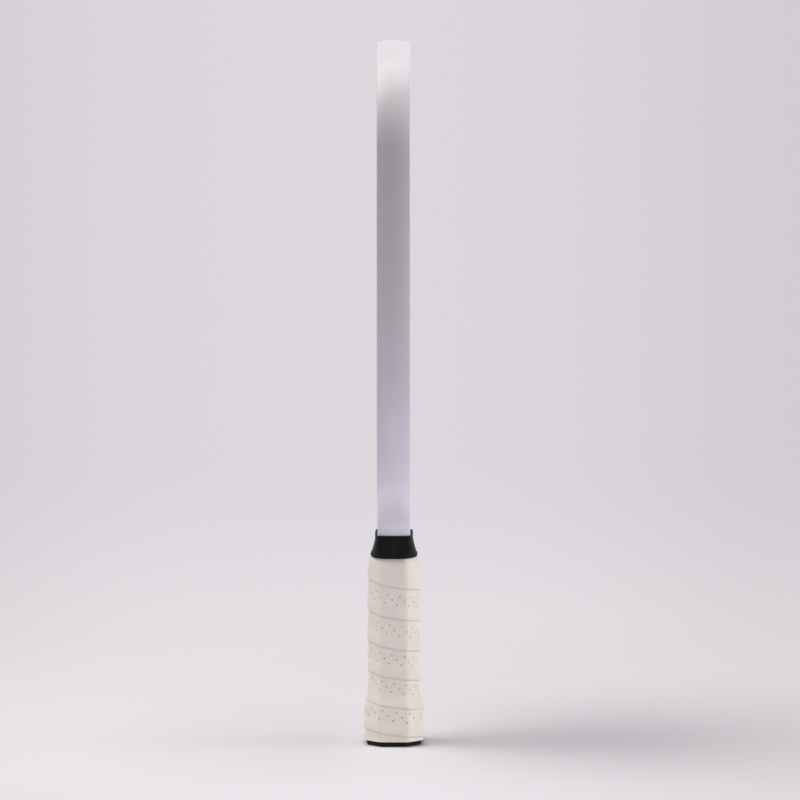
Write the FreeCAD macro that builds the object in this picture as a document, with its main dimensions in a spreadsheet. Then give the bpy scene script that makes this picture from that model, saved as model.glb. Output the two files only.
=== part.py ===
"""Pickleball paddle: a honeycomb sandwich blade with an edge guard, a two-part handle and a wrapped grip.

Frame: millimetres, +Z up the handle to the tip, +X across the blade, front face towards -Y.
The origin is the centre of the butt cap's bottom face.
"""
import FreeCAD, Part
import math
import os
import Sketcher

SIZES = {
    # Outline of the blade at the guard's outer edge
    "paddle_length": 419.0,
    "paddle_width": 190.0,
    "top_slope": 5.0,
    "top_radius": 400.0,
    "corner_radius": 60.0,
    "waist_length": 46.0,
    "waist_angle": 30.0,
    "waist_radius": 130.0,
    "shoulder_angle": 65.0,
    "shoulder_radius": 30.0,
    "neck_width": 38.0,
    "neck_height": 133.0,
    "neck_radius": 12.0,
    # Sandwich blank
    "core_thickness": 14.8,
    "film_thickness": 0.1,
    "sheet_thickness": 0.5,
    "cell_size": 10.0,
    "cell_wall": 0.5,
    "cell_margin": 0.8,
    "tang_width": 26.0,
    # Edge guard and the tape that holds it
    "guard_web": 1.6,
    "guard_lip": 1.6,
    "guard_depth": 7.0,
    "guard_round": 3.0,
    "tape_thickness": 0.15,
    # Handle, an octagon in plan
    "handle_width": 30.5,
    "handle_thickness": 26.8,
    "handle_bevel": 5.9,
    "handle_top": 118.0,
    "taper_start": 102.0,
    "taper_width": 32.4,
    "taper_thickness": 19.8,
    "taper_bevel": 3.2,
    "glue_gap": 0.05,
    # Butt cap, its tacks and its badge
    "cap_base": 3.0,
    "cap_height": 23.0,
    "cap_wall": 2.3,
    "cap_flange": 0.5,
    "cap_chamfer": 0.8,
    "tack_height": 15.0,
    "tack_spread": 10.0,
    "tack_radius": 0.6,
    "tack_length": 6.0,
    "tack_head_radius": 2.0,
    "tack_head": 0.4,
    "badge_radius": 10.0,
    "badge_thickness": 0.6,
    "badge_recess": 0.9,
    # Cushion grip, its staple, and the wrapped overgrip
    "cushion": 1.25,
    "cushion_feather": 0.35,
    "cushion_top": 109.0,
    "flare_run": 8.0,
    "staple_height": 9.0,
    "staple_width": 8.0,
    "staple_wire": 0.6,
    "staple_leg": 3.0,
    "overgrip": 0.5,
    "overgrip_lap": 0.5,
    "overgrip_pitch": 18.0,
    "overgrip_seam": 4.9,
    "overgrip_top": 114.5,
    "finish_tape": 0.15,
    "finish_low": 113.2,
    "finish_high": 117.4,
    # Rubber collar
    "collar_low": 112.7,
    "collar_high": 126.4,
    "collar_wall": 1.1,
    "collar_lip": 0.3,
    "collar_lip_height": 1.4,
    "collar_pull": 1.0,
}

NODES = []

document = FreeCAD.newDocument("Paddle")
sheet = document.addObject("Spreadsheet::Sheet", "Sizes")
for row, (alias, number) in enumerate(SIZES.items(), start=1):
    sheet.set(f"A{row}", alias)
    sheet.set(f"B{row}", str(number))
    sheet.setAlias(f"B{row}", alias)
document.recompute()

# Lines of the sizes that several pieces share, as sheet expressions
HALF_WIDTH = "Sizes.handle_width / 2"
HALF_THICKNESS = "Sizes.handle_thickness / 2"
BLANK_THICKNESS = "(Sizes.core_thickness + 2 * Sizes.film_thickness + 2 * Sizes.sheet_thickness)"
GUARD_SLOT = f"({BLANK_THICKNESS} + 2 * Sizes.tape_thickness)"
GUARD_THICKNESS = f"({GUARD_SLOT} + 2 * Sizes.guard_lip)"
HANDLE_LOW = "(Sizes.cap_base + Sizes.glue_gap)"
# Glue layers between the handle and what is wrapped, taped or stretched over it
UNDER_CUSHION = "Sizes.glue_gap"
UNDER_WRAP = "(2 * Sizes.glue_gap)"
UNDER_FINISH = "(3 * Sizes.glue_gap)"
UNDER_COLLAR = "(4 * Sizes.glue_gap)"
GUARD_LOW = f"(Sizes.handle_top + {UNDER_COLLAR})"
GUARD_WINDOW = f"({GUARD_THICKNESS} + Sizes.guard_depth)"
# A 45 degree bevel grows by this share of the distance that an octagon is stood out
BEVEL_SHARE = "(2 - sqrt(2))"
# Names of the sizes that each outline is stood in by
TAPE_INSET = ("guard_web",)
BLANK_INSET = ("guard_web", "tape_thickness")
WINDOW_INSET = ("guard_depth",)
# Cutting tools run past the piece by this much, and points this near are one point
CUT_PAST = 5.0
NEAR = 1e-6
SAME_SPOT = 1e-3
CELL_SIDES = 6
WRAP_CORNERS = 8
WRAP_ROWS = 6


def size(name):
    """The number that the sheet holds under an alias."""
    return float(sheet.get(name))


def worked_out(expression):
    """The number that a sheet expression comes to."""
    return float(sheet.evalExpression(expression))


def node(piece):
    """Marks a document object as a sub-part to be written."""
    NODES.append(piece)
    return piece


# ---------------------------------------------------------------- sketches and features

def new_sketch(body, name, role, offset):
    """A sketch on one of the body's own origin planes, moved along its normal by an expression."""
    sketch = body.newObject("Sketcher::SketchObject", name)
    plane = next(item for item in body.Origin.OriginFeatures if item.Role == role)
    sketch.AttachmentSupport = [(plane, "")]
    sketch.MapMode = "FlatFace"
    sketch.setExpression("AttachmentOffset.Base.z", offset)
    return sketch


def closed_lines(sketch, points):
    """Straight lines round a list of points, each joined to the next."""
    count = len(points)
    corners = [FreeCAD.Vector(x, y, 0) for x, y in points]
    for index, corner in enumerate(corners):
        sketch.addGeometry(Part.LineSegment(corner, corners[(index + 1) % count]), False)
    for index in range(count):
        sketch.addConstraint(Sketcher.Constraint("Coincident", index, 2, (index + 1) % count, 1))


def driven(sketch, name, expression, *definition):
    """A named dimension bound to the sheet."""
    index = sketch.addConstraint(Sketcher.Constraint(*definition, worked_out(expression)))
    sketch.renameConstraint(index, name)
    sketch.setExpression(f"Constraints.{name}", expression)


def octagon(body, name, height, half_x, half_y, bevel):
    """An octagon about the Z axis: a rectangle with its corners cut at 45 degrees."""
    sketch = new_sketch(body, name, "XY_Plane", height)
    wide, deep, cut = worked_out(half_x), worked_out(half_y), worked_out(bevel)
    closed_lines(sketch, [
        (wide, deep - cut), (wide - cut, deep), (cut - wide, deep), (-wide, deep - cut),
        (-wide, cut - deep), (cut - wide, -deep), (wide - cut, -deep), (wide, cut - deep)])
    for first, second, axis in ((1, 2, -2), (0, 3, -2), (0, 7, -1), (1, 6, -1), (3, 4, -1), (2, 5, -1)):
        sketch.addConstraint(Sketcher.Constraint("Symmetric", first, 1, second, 1, axis))
    driven(sketch, "half_x", half_x, "DistanceX", -1, 1, 0, 1)
    driven(sketch, "flat_y", f"{half_y} - ({bevel})", "DistanceY", -1, 1, 0, 1)
    driven(sketch, "flat_x", f"{half_x} - ({bevel})", "DistanceX", -1, 1, 1, 1)
    driven(sketch, "half_y", half_y, "DistanceY", -1, 1, 1, 1)
    return sketch


def ruled_loft(body, kind, name, sections):
    """A straight-sided loft through octagons given as (height, half_x, half_y, bevel)."""
    sketches = [octagon(body, f"{name}_{index}", *section) for index, section in enumerate(sections)]
    loft = body.newObject(f"PartDesign::{kind}", name)
    loft.Profile = (sketches[0], [""])
    loft.Sections = [(sketch, [""]) for sketch in sketches[1:]]
    loft.Ruled = True
    document.recompute()
    return loft


def new_body(label):
    """An empty body with a label of its own."""
    body = document.addObject("PartDesign::Body", label)
    body.Label = label
    return body


def boolean(kind, label, base, tool):
    """A Part::Cut or Part::Common of two objects."""
    result = document.addObject(f"Part::{kind}", label)
    result.Label = label
    result.Base = base
    result.Tool = tool
    return result


def block(label, low, lengths):
    """A box from its low corner and its lengths, both as expressions."""
    box = document.addObject("Part::Box", label)
    for name, expression in zip(("Length", "Width", "Height"), lengths):
        box.setExpression(name, expression)
    for name, expression in zip("xyz", low):
        box.setExpression(f"Placement.Base.{name}", expression)
    return box


def cross_rod(label, radius, length, place, sign):
    """A cylinder along Y that starts at a place and runs outwards on one side."""
    rod = document.addObject("Part::Cylinder", label)
    rod.setExpression("Radius", radius)
    rod.setExpression("Height", length)
    for name, expression in zip("xyz", place):
        rod.setExpression(f"Placement.Base.{name}", expression)
    rod.Placement.Rotation = FreeCAD.Rotation(FreeCAD.Vector(1, 0, 0), -90 * sign)
    return rod


# ---------------------------------------------------------------- blade outline

def blade_sketch(body, inset, low, offset):
    """The blade's outline with sharp corners, stood in from the guard's edge by the inset sizes."""
    drop = " + ".join(f"Sizes.{name}" for name in inset) if inset else "0"
    drop_by = worked_out(drop)
    waist, shoulder = math.radians(size("waist_angle")), math.radians(size("shoulder_angle"))
    crown = "Sizes.top_radius * (1 / cos(Sizes.top_slope) - 1)"
    apex_height = f"Sizes.paddle_length + {crown} - ({drop}) / cos(Sizes.top_slope)"
    side_x = f"Sizes.paddle_width / 2 - ({drop})"
    neck_x = f"Sizes.neck_width / 2 - ({drop})"
    neck_z = f"Sizes.neck_height + ({drop}) * tan(Sizes.shoulder_angle / 2)"
    waist_run = (f"Sizes.waist_length - ({drop}) * (tan(Sizes.waist_angle / 2)"
                 f" + tan((Sizes.shoulder_angle - Sizes.waist_angle) / 2))")

    side, neck, apex = worked_out(side_x), worked_out(neck_x), worked_out(apex_height)
    corner = (side, apex - side * math.tan(math.radians(size("top_slope"))))
    bend_x = side - worked_out(waist_run) * math.sin(waist)
    bend_z = worked_out(neck_z) + (bend_x - neck) / math.tan(shoulder)
    upper_z = bend_z + worked_out(waist_run) * math.cos(waist)
    right = [corner, (side, upper_z), (bend_x, bend_z), (neck, worked_out(neck_z)), (neck, worked_out(low))]
    left = [(-x, z) for x, z in reversed(right)]

    sketch = new_sketch(body, f"{body.Name}_outline", "XZ_Plane", offset)
    points = [(0, apex)] + right + left
    closed_lines(sketch, points)
    for index in range(1, len(right) + 1):
        mirrored = len(points) - index
        sketch.addConstraint(Sketcher.Constraint("Symmetric", index, 1, mirrored, 1, -2))
    sketch.addConstraint(Sketcher.Constraint("PointOnObject", 0, 1, -2))
    sketch.addConstraint(Sketcher.Constraint("Vertical", 1))
    sketch.addConstraint(Sketcher.Constraint("Vertical", 4))
    driven(sketch, "apex_height", apex_height, "DistanceY", -1, 1, 0, 1)
    driven(sketch, "side", side_x, "DistanceX", -1, 1, 1, 1)
    driven(sketch, "neck_side", neck_x, "DistanceX", -1, 1, 4, 1)
    driven(sketch, "neck_top", neck_z, "DistanceY", -1, 1, 4, 1)
    driven(sketch, "low_end", low, "DistanceY", -1, 1, 5, 1)
    driven(sketch, "waist_run", waist_run, "Distance", 2)
    for name, line, turn in (("slope", 0, "-Sizes.top_slope"),
                             ("waist_turn", 2, "-(90 + Sizes.waist_angle)"),
                             ("shoulder_turn", 3, "-(90 + Sizes.shoulder_angle)")):
        index = sketch.addConstraint(Sketcher.Constraint("Angle", line, math.radians(worked_out(turn))))
        sketch.renameConstraint(index, name)
        sketch.setExpression(f"Constraints.{name}", f"({turn}) * 1 deg")
    return sketch, points, drop


def round_corners(body, base, spots, radius):
    """Rounds the edges across the blade's thickness that stand at the given spots."""
    names = []
    for index, edge in enumerate(base.Shape.Edges, start=1):
        first, last = edge.Vertexes[0].Point, edge.Vertexes[-1].Point
        across = abs(first.x - last.x) + abs(first.z - last.z) < NEAR
        if across and any(math.hypot(first.x - x, first.z - z) < SAME_SPOT for x, z in spots):
            names.append(f"Edge{index}")
    fillet = body.newObject("PartDesign::Fillet", f"{body.Name}_round")
    fillet.Base = (base, names)
    fillet.setExpression("Radius", radius)
    document.recompute()
    return fillet


def plate(label, inset, low, thickness, middle="0"):
    """A flat plate with the blade's outline, square to Y, with its middle at a given Y."""
    body = new_body(label)
    sketch, points, drop = blade_sketch(body, inset, low, f"-({middle}) - {thickness} / 2")
    pad = body.newObject("PartDesign::Pad", f"{label}_pad")
    pad.Profile = sketch
    pad.setExpression("Length", thickness)
    document.recompute()
    feature = pad
    count = len(points)
    for index, radius in ((0, f"Sizes.top_radius - ({drop})"), (1, f"Sizes.corner_radius - ({drop})"),
                          (2, f"Sizes.waist_radius - ({drop})"), (3, f"Sizes.shoulder_radius - ({drop})"),
                          (4, f"Sizes.neck_radius + {drop}")):
        spots = {points[index], points[(count - index) % count]}
        feature = round_corners(body, feature, spots, radius)
    return body


def blank_layer(label, thickness, middle="0"):
    """One layer of the sandwich: the blade inside the guard, with the tang that the handle grips."""
    body = plate(label, BLANK_INSET, GUARD_LOW, thickness, middle)
    tang = new_sketch(body, f"{label}_tang", "XZ_Plane", f"-({middle}) - {thickness} / 2")
    half, low, high = size("tang_width") / 2, worked_out(HANDLE_LOW), size("neck_height")
    closed_lines(tang, [(half, high), (half, low), (-half, low), (-half, high)])
    tang.addConstraint(Sketcher.Constraint("Symmetric", 0, 1, 3, 1, -2))
    tang.addConstraint(Sketcher.Constraint("Symmetric", 1, 1, 2, 1, -2))
    tang.addConstraint(Sketcher.Constraint("Vertical", 0))
    driven(tang, "half_tang", "Sizes.tang_width / 2", "DistanceX", -1, 1, 0, 1)
    driven(tang, "tang_high", "Sizes.neck_height", "DistanceY", -1, 1, 0, 1)
    driven(tang, "tang_low", HANDLE_LOW, "DistanceY", -1, 1, 1, 1)
    pad = body.newObject("PartDesign::Pad", f"{label}_tang_pad")
    pad.Profile = tang
    pad.setExpression("Length", thickness)
    document.recompute()
    return body


# ---------------------------------------------------------------- sandwich blade

def honeycomb_core():
    """The core: open hexagonal cells across its thickness, inside a closed rim."""
    blank = blank_layer("core_blank", "Sizes.core_thickness")
    faces = [face for face in blank.Shape.Faces if abs(face.normalAt(0, 0).y) > 1 - NEAR]
    front = min(faces, key=lambda face: face.CenterOfMass.y)
    pitch = size("cell_size")
    cell = (pitch - size("cell_wall")) / math.sqrt(3)
    reach = cell + size("cell_margin")
    row_step = pitch * math.sqrt(3) / 2
    y = front.CenterOfMass.y
    turns = [math.pi * (2 * corner + 1) / CELL_SIDES for corner in range(CELL_SIDES)]
    columns = math.ceil(size("paddle_width") / 2 / pitch)
    cells = []
    for row in range(math.ceil(size("paddle_length") / row_step)):
        for column in range(-columns, columns + 1):
            x, z = pitch * (column + row % 2 / 2), row * row_step
            spots = [FreeCAD.Vector(x + reach * math.cos(a), y, z + reach * math.sin(a)) for a in turns]
            if all(front.isInside(spot, NEAR, True) for spot in spots):
                ring = [FreeCAD.Vector(x + cell * math.cos(a), y, z + cell * math.sin(a)) for a in turns]
                cells.append(Part.makePolygon(ring[::-1] + ring[-1:]))
    pierced = Part.Face([front.OuterWire] + cells)
    core = document.addObject("Part::Feature", "honeycomb_core")
    core.Label = "honeycomb_core"
    core.Shape = pierced.extrude(FreeCAD.Vector(0, size("core_thickness"), 0))
    return node(core)


def face_layers():
    """The bonding film and the composite sheet on each side of the core."""
    film_y = "(Sizes.core_thickness + Sizes.film_thickness) / 2"
    sheet_y = "(Sizes.core_thickness / 2 + Sizes.film_thickness + Sizes.sheet_thickness / 2)"
    for side, sign in (("front", "-"), ("rear", "")):
        node(blank_layer(f"{side}_bond_film", "Sizes.film_thickness", f"{sign}{film_y}"))
        node(blank_layer(f"{side}_face_sheet", "Sizes.sheet_thickness", f"{sign}{sheet_y}"))


def edge_guard():
    """The guard: a U-shaped moulding round the blade, rounded outside, open on the blade's faces."""
    outer = plate("guard_blank", (), GUARD_LOW, GUARD_THICKNESS)
    half = worked_out(GUARD_THICKNESS) / 2
    names = []
    for index, edge in enumerate(outer.Shape.Edges, start=1):
        first, last = edge.Vertexes[0].Point, edge.Vertexes[-1].Point
        along = abs(first.y - last.y) < NEAR and abs(abs(first.y) - half) < NEAR
        at_low_end = max(first.z, last.z) < worked_out(GUARD_LOW) + NEAR
        if along and not at_low_end:
            names.append(f"Edge{index}")
    sharp = outer.Tip
    rounding = outer.newObject("PartDesign::Fillet", "guard_rounding")
    rounding.Base = (sharp, names)
    rounding.setExpression("Radius", "Sizes.guard_round")
    document.recompute()
    past_low = f"{GUARD_LOW} - {CUT_PAST}"
    slot = plate("guard_slot", TAPE_INSET, past_low, GUARD_SLOT)
    window = plate("guard_window", WINDOW_INSET, past_low, GUARD_WINDOW)
    slotted = boolean("Cut", "guard_slotted", outer, slot)
    node(boolean("Cut", "edge_guard", slotted, window))

    tape_blank = plate("tape_blank", TAPE_INSET, GUARD_LOW, GUARD_SLOT)
    tape_slot = plate("tape_slot", BLANK_INSET, past_low, BLANK_THICKNESS)
    tape_ring = boolean("Cut", "tape_ring", tape_blank, tape_slot)
    tape_window = plate("tape_window", WINDOW_INSET, past_low, GUARD_WINDOW)
    node(boolean("Cut", "edge_guard_tape", tape_ring, tape_window))


# ---------------------------------------------------------------- handle

def grown(height, growth, half_x=HALF_WIDTH, half_y=HALF_THICKNESS, bevel="Sizes.handle_bevel"):
    """A section of the handle stood out evenly by a growth: (height, half_x, half_y, bevel)."""
    return (height, f"({half_x} + {growth})", f"({half_y} + {growth})",
            f"({bevel} + {BEVEL_SHARE} * ({growth}))")


def tapered(height, growth):
    """A grown section of the handle's tapered top, where it runs down to the blade."""
    share = f"(({height} - Sizes.taper_start) / (Sizes.handle_top - Sizes.taper_start))"
    half_x = f"({HALF_WIDTH} + (Sizes.taper_width - Sizes.handle_width) / 2 * {share})"
    half_y = f"({HALF_THICKNESS} + (Sizes.taper_thickness - Sizes.handle_thickness) / 2 * {share})"
    bevel = f"(Sizes.handle_bevel + (Sizes.taper_bevel - Sizes.handle_bevel) * {share})"
    return grown(height, growth, half_x, half_y, bevel)


def tack_places():
    """The tacks' labels, their X as an expression, and the side of the handle that each is in."""
    for side, sign in (("front", -1), ("rear", 1)):
        for hand, across in (("left", "-"), ("right", "")):
            yield f"{side}_{hand}_tack", f"{across}Sizes.tack_spread / 2", sign


def tack_rods(prefix, radius, head_radius, head, play):
    """The shanks and heads of all the tacks, or the tools for their holes."""
    pieces = []
    cap_face = f"({HALF_THICKNESS} + Sizes.cap_wall)"
    shank_end = f"({cap_face} - Sizes.tack_length - {play})"
    head_low = f"({cap_face} - Sizes.tack_head - {play})"
    for label, x, sign in tack_places():
        shank = cross_rod(f"{prefix}{label}_shank", radius, "Sizes.tack_length",
                          (x, f"{sign} * {shank_end}", "Sizes.tack_height"), sign)
        cover = cross_rod(f"{prefix}{label}_head", head_radius, head,
                          (x, f"{sign} * {head_low}", "Sizes.tack_height"), sign)
        joined = document.addObject("Part::Fuse", f"{prefix}{label}")
        joined.Base = shank
        joined.Tool = cover
        pieces.append(joined)
    group = document.addObject("Part::Compound", f"{prefix}tacks")
    group.Links = pieces
    return group


def butt_tacks():
    """Four tacks that hold the butt cap on the handle, and the holes that they fill."""
    tacks = tack_rods("", "Sizes.tack_radius", "Sizes.tack_head_radius", "Sizes.tack_head", "0")
    tacks.Label = "butt_cap_tacks"
    play = "Sizes.glue_gap / 2"
    holes = tack_rods("hole_", f"Sizes.tack_radius + {play}", f"Sizes.tack_head_radius + {play}",
                      f"(Sizes.tack_head + {CUT_PAST})", f"({play})")
    return node(tacks), holes


def handle_halves(holes):
    """Two moulded halves that close round the tang and give the handle its octagon."""
    block_body = new_body("handle_block")
    ruled_loft(block_body, "AdditiveLoft", "handle_form", [
        grown(HANDLE_LOW, "0"), grown("Sizes.taper_start", "0"), tapered("Sizes.handle_top", "0")])
    gap = "Sizes.glue_gap"
    slot_height = f"Sizes.handle_top + {CUT_PAST}"
    slot = block("tang_slot",
                 (f"-Sizes.tang_width / 2 - {gap}", f"-{BLANK_THICKNESS} / 2 - {gap}", "0"),
                 (f"Sizes.tang_width + 2 * {gap}", f"{BLANK_THICKNESS} + 2 * {gap}", slot_height))
    channelled = boolean("Cut", "handle_channelled", block_body, slot)
    drilled = boolean("Cut", "handle_drilled", channelled, holes)
    for side, low in (("front", "-Sizes.handle_width"), ("rear", f"{gap} / 2")):
        half = block(f"{side}_space", ("-Sizes.handle_width", low, "0"),
                     ("2 * Sizes.handle_width", f"Sizes.handle_width - {gap} / 2", slot_height))
        node(boolean("Common", f"{side}_handle_half", drilled, half))


def butt_cap(holes, staple_room):
    """The cap: a flanged foot and a socket that flares the end of the grip."""
    body = new_body("cap_form")
    flange = "Sizes.cap_wall + Sizes.cap_flange"
    chamfer = "Sizes.cap_chamfer"
    gap = "Sizes.glue_gap"
    ruled_loft(body, "AdditiveLoft", "cap_foot", [
        grown("0", f"({flange} - {chamfer})"), grown(f"2 * {chamfer}", f"({flange})"),
        grown("Sizes.cap_base", f"({flange})")])
    ruled_loft(body, "AdditiveLoft", "cap_socket", [
        grown(f"Sizes.cap_base - {chamfer}", "Sizes.cap_wall"),
        grown(f"Sizes.cap_height - {chamfer}", "Sizes.cap_wall"),
        grown("Sizes.cap_height", f"(Sizes.cap_wall - {chamfer})")])
    ruled_loft(body, "SubtractiveLoft", "cap_mouth", [
        grown("Sizes.cap_base", gap), grown(f"Sizes.cap_height + {CUT_PAST}", gap)])
    recess = document.addObject("Part::Cylinder", "badge_room")
    recess.setExpression("Radius", f"Sizes.badge_radius + {gap}")
    recess.setExpression("Height", "Sizes.badge_recess")
    recessed = boolean("Cut", "cap_recessed", body, recess)
    drilled = boolean("Cut", "cap_drilled", recessed, holes)
    node(boolean("Cut", "butt_cap", drilled, staple_room))

    badge = document.addObject("Part::Cylinder", "badge_disc")
    badge.setExpression("Radius", "Sizes.badge_radius")
    badge.setExpression("Height", "Sizes.badge_thickness")
    badge.setExpression("Placement.Base.z", "Sizes.badge_recess - Sizes.badge_thickness")
    badge.Label = "butt_badge"
    node(badge)


# ---------------------------------------------------------------- grip

def grip_staple():
    """A wire staple through the cushion's lower end into the cap, and the room that it takes."""
    crown_y = f"({HALF_THICKNESS} + Sizes.cap_wall + Sizes.cushion - Sizes.staple_wire)"
    wire = "Sizes.staple_wire"
    play = "Sizes.glue_gap / 2"
    groups = []
    for prefix, spare in (("", "0"), ("room_", play)):
        low_z = f"Sizes.staple_height - {spare}"
        side = f"Sizes.staple_width / 2 + {spare}"
        thick = f"{wire} + 2 * ({spare})"
        leg_low = f"{crown_y} + {wire} - Sizes.staple_leg - {spare}"
        crown = block(f"{prefix}crown", (f"-({side})", f"{crown_y} - {spare}", low_z),
                      (f"2 * ({side})", thick, thick))
        leg = (thick, "Sizes.staple_leg", thick)
        left = block(f"{prefix}left_leg", (f"-({side})", leg_low, low_z), leg)
        right = block(f"{prefix}right_leg", (f"{side} - ({thick})", leg_low, low_z), leg)
        whole = document.addObject("Part::MultiFuse", f"{prefix}staple")
        whole.Shapes = [crown, left, right]
        groups.append(whole)
    groups[0].Label = "grip_staple"
    return node(groups[0]), groups[1]


def cushion_sections(growth):
    """Sections of the cushion's outside, stood out by a growth."""
    thick = f"(Sizes.cushion + {growth})"
    flare = f"(Sizes.cap_wall + {thick})"
    return [grown(HANDLE_LOW, flare), grown("Sizes.cap_height", flare),
            grown("(Sizes.cap_height + Sizes.flare_run)", thick), grown("Sizes.taper_start", thick),
            tapered("Sizes.cushion_top", f"(Sizes.cushion_feather + {growth})")]


def base_grip(staple_room):
    """The cushion grip: a sleeve over the handle and the cap's socket."""
    body = new_body("cushion_form")
    gap = "Sizes.glue_gap"
    ruled_loft(body, "AdditiveLoft", "cushion_outside", cushion_sections("0"))
    above = f"(Sizes.cushion_top + {CUT_PAST})"
    below = f"(Sizes.cap_base - {CUT_PAST})"
    ruled_loft(body, "SubtractiveLoft", "cushion_inside", [
        grown(below, f"(Sizes.cap_wall + {gap})"), grown("Sizes.cap_height", f"(Sizes.cap_wall + {gap})"),
        grown("(Sizes.cap_height + Sizes.flare_run)", gap), grown("Sizes.taper_start", gap),
        tapered(above, gap)])
    return node(boolean("Cut", "base_grip", body, staple_room))


def wrap_section(height):
    """The wrapped tape's half width, half thickness and bevel at a height, one layer thick."""
    sections = [[worked_out(text) for text in section] for section in wrap_inside()]
    height = min(max(height, sections[0][0]), sections[-1][0])
    for low, high in zip(sections, sections[1:]):
        if height <= high[0]:
            share = (height - low[0]) / (high[0] - low[0])
            return [a + (b - a) * share + size("overgrip") * growth
                    for a, b, growth in zip(low[1:], high[1:], (1, 1, worked_out(BEVEL_SHARE)))]
    raise ValueError(f"no section of the handle at {height} mm")


def wrap_inside():
    """Sections of the surface that the overgrip lies on."""
    step = f"(Sizes.cushion_top + {UNDER_WRAP})"
    past_top = f"(Sizes.overgrip_top + {CUT_PAST})"
    return cushion_sections(UNDER_CUSHION) + [tapered(step, UNDER_WRAP), tapered(past_top, UNDER_WRAP)]


def wrap_corner(index, height, lift):
    """A corner of the wrapped tape's outside, counted clockwise from above, at a height."""
    half_x, half_y, bevel = wrap_section(height)
    half_x, half_y = half_x + lift, half_y + lift
    bevel += lift * worked_out(BEVEL_SHARE)
    flat_x, flat_y = half_x - bevel, half_y - bevel
    ring = [(half_x, flat_y), (half_x, -flat_y), (flat_x, -half_y), (-flat_x, -half_y),
            (-half_x, -flat_y), (-half_x, flat_y), (-flat_x, half_y), (flat_x, half_y)]
    x, y = ring[index % len(ring)]
    return FreeCAD.Vector(x, y, height)


def overgrip():
    """The overgrip: tape wound up the handle, each turn's lower edge lapped over the turn below."""
    corners, rows = WRAP_CORNERS, WRAP_ROWS
    pitch, lap = size("overgrip_pitch"), size("overgrip_lap")
    turns_below = math.ceil(size("overgrip_seam") / pitch) + 2
    start = size("overgrip_seam") - turns_below * pitch
    turns = math.ceil((size("overgrip_top") - start) / pitch) + 1
    count = corners * turns

    def spot(index, row):
        climb = pitch * (index / corners + row / rows)
        return wrap_corner(index, start + climb, lap * (1 - row / rows))

    foot = FreeCAD.Vector(0, 0, spot(0, 0).z - pitch)
    head = FreeCAD.Vector(0, 0, spot(count, rows).z + pitch)
    panels = []

    def panel(*points):
        panels.append(Part.Face(Part.makePolygon(list(points) + [points[0]])))

    for index in range(count):
        for row in range(rows):
            a, b = spot(index, row), spot(index + 1, row)
            c, d = spot(index + 1, row + 1), spot(index, row + 1)
            panel(a, b, c)
            panel(a, c, d)
        a, b = spot(index, rows), spot(index + 1, rows)
        if index < count - corners:
            c, d = spot(index + 1 + corners, 0), spot(index + corners, 0)
            panel(a, b, c)
            panel(a, c, d)
        else:
            panel(head, a, b)
        if index < corners:
            panel(foot, spot(index, 0), spot(index + 1, 0))
    for row in range(rows):
        panel(foot, spot(0, row), spot(0, row + 1))
        panel(head, spot(count, row), spot(count, row + 1))
    panel(foot, spot(0, rows), spot(corners, 0))
    panel(head, spot(count, 0), spot(count - corners, rows))
    screw = Part.Solid(Part.Shell(panels))
    if screw.Volume < 0:
        screw.reverse()

    wound = document.addObject("Part::Feature", "wound_tape")
    wound.Shape = screw
    wide = "2 * Sizes.handle_width"
    slab = block("wrap_length", ("-Sizes.handle_width", "-Sizes.handle_width", HANDLE_LOW),
                 (wide, wide, f"Sizes.overgrip_top - {HANDLE_LOW}"))
    trimmed = boolean("Common", "wrap_trimmed", wound, slab)
    inside = new_body("wrap_room_form")
    lowest = grown(f"(Sizes.cap_base - {CUT_PAST})", f"(Sizes.cap_wall + Sizes.cushion + {UNDER_CUSHION})")
    ruled_loft(inside, "AdditiveLoft", "wrap_room", [lowest] + wrap_inside())
    return node(boolean("Cut", "overgrip", trimmed, inside))


def finishing_tape():
    """The tape that binds the overgrip's upper end, hidden by the collar."""
    body = new_body("finishing_tape")
    over = f"({UNDER_FINISH} + Sizes.overgrip + Sizes.overgrip_lap)"
    top = f"(Sizes.overgrip_top + {UNDER_WRAP})"
    for kind, name, thick in (("AdditiveLoft", "tape_outside", "Sizes.finish_tape"),
                              ("SubtractiveLoft", "tape_inside", "0")):
        ruled_loft(body, kind, name, [
            tapered("Sizes.finish_low", f"({over} + {thick})"), tapered(top, f"({over} + {thick})"),
            tapered("Sizes.finish_high", f"({UNDER_COLLAR} + {thick})")])
    return node(body)


def throat_collar():
    """The rubber collar: a flared sleeve from the guard's ends down over the grip's top."""
    body = new_body("throat_collar")
    grip = f"({UNDER_COLLAR} + Sizes.overgrip + Sizes.overgrip_lap + Sizes.finish_tape)"
    wall, lip = "Sizes.collar_wall", "Sizes.collar_lip"
    bevel = f"Sizes.guard_round * {BEVEL_SHARE}"
    neck_x = f"(Sizes.neck_width / 2 + {UNDER_WRAP})"
    neck_y = f"({GUARD_THICKNESS} / 2 + {UNDER_WRAP})"
    lip_top = "(Sizes.collar_low + Sizes.collar_lip_height)"
    inside = [tapered("Sizes.collar_low", grip), tapered(lip_top, grip),
              (f"({GUARD_LOW} - {UNDER_WRAP})", neck_x, f"({neck_y} + Sizes.collar_pull)", bevel),
              ("Sizes.collar_high", neck_x, neck_y, bevel)]
    outside = [grown(height, growth, half_x, half_y, cut) for (height, half_x, half_y, cut), growth
               in zip(inside, (f"({wall} + {lip})", wall, wall, wall))]
    ruled_loft(body, "AdditiveLoft", "collar_outside", outside)
    ruled_loft(body, "SubtractiveLoft", "collar_inside", inside)
    return node(body)


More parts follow.
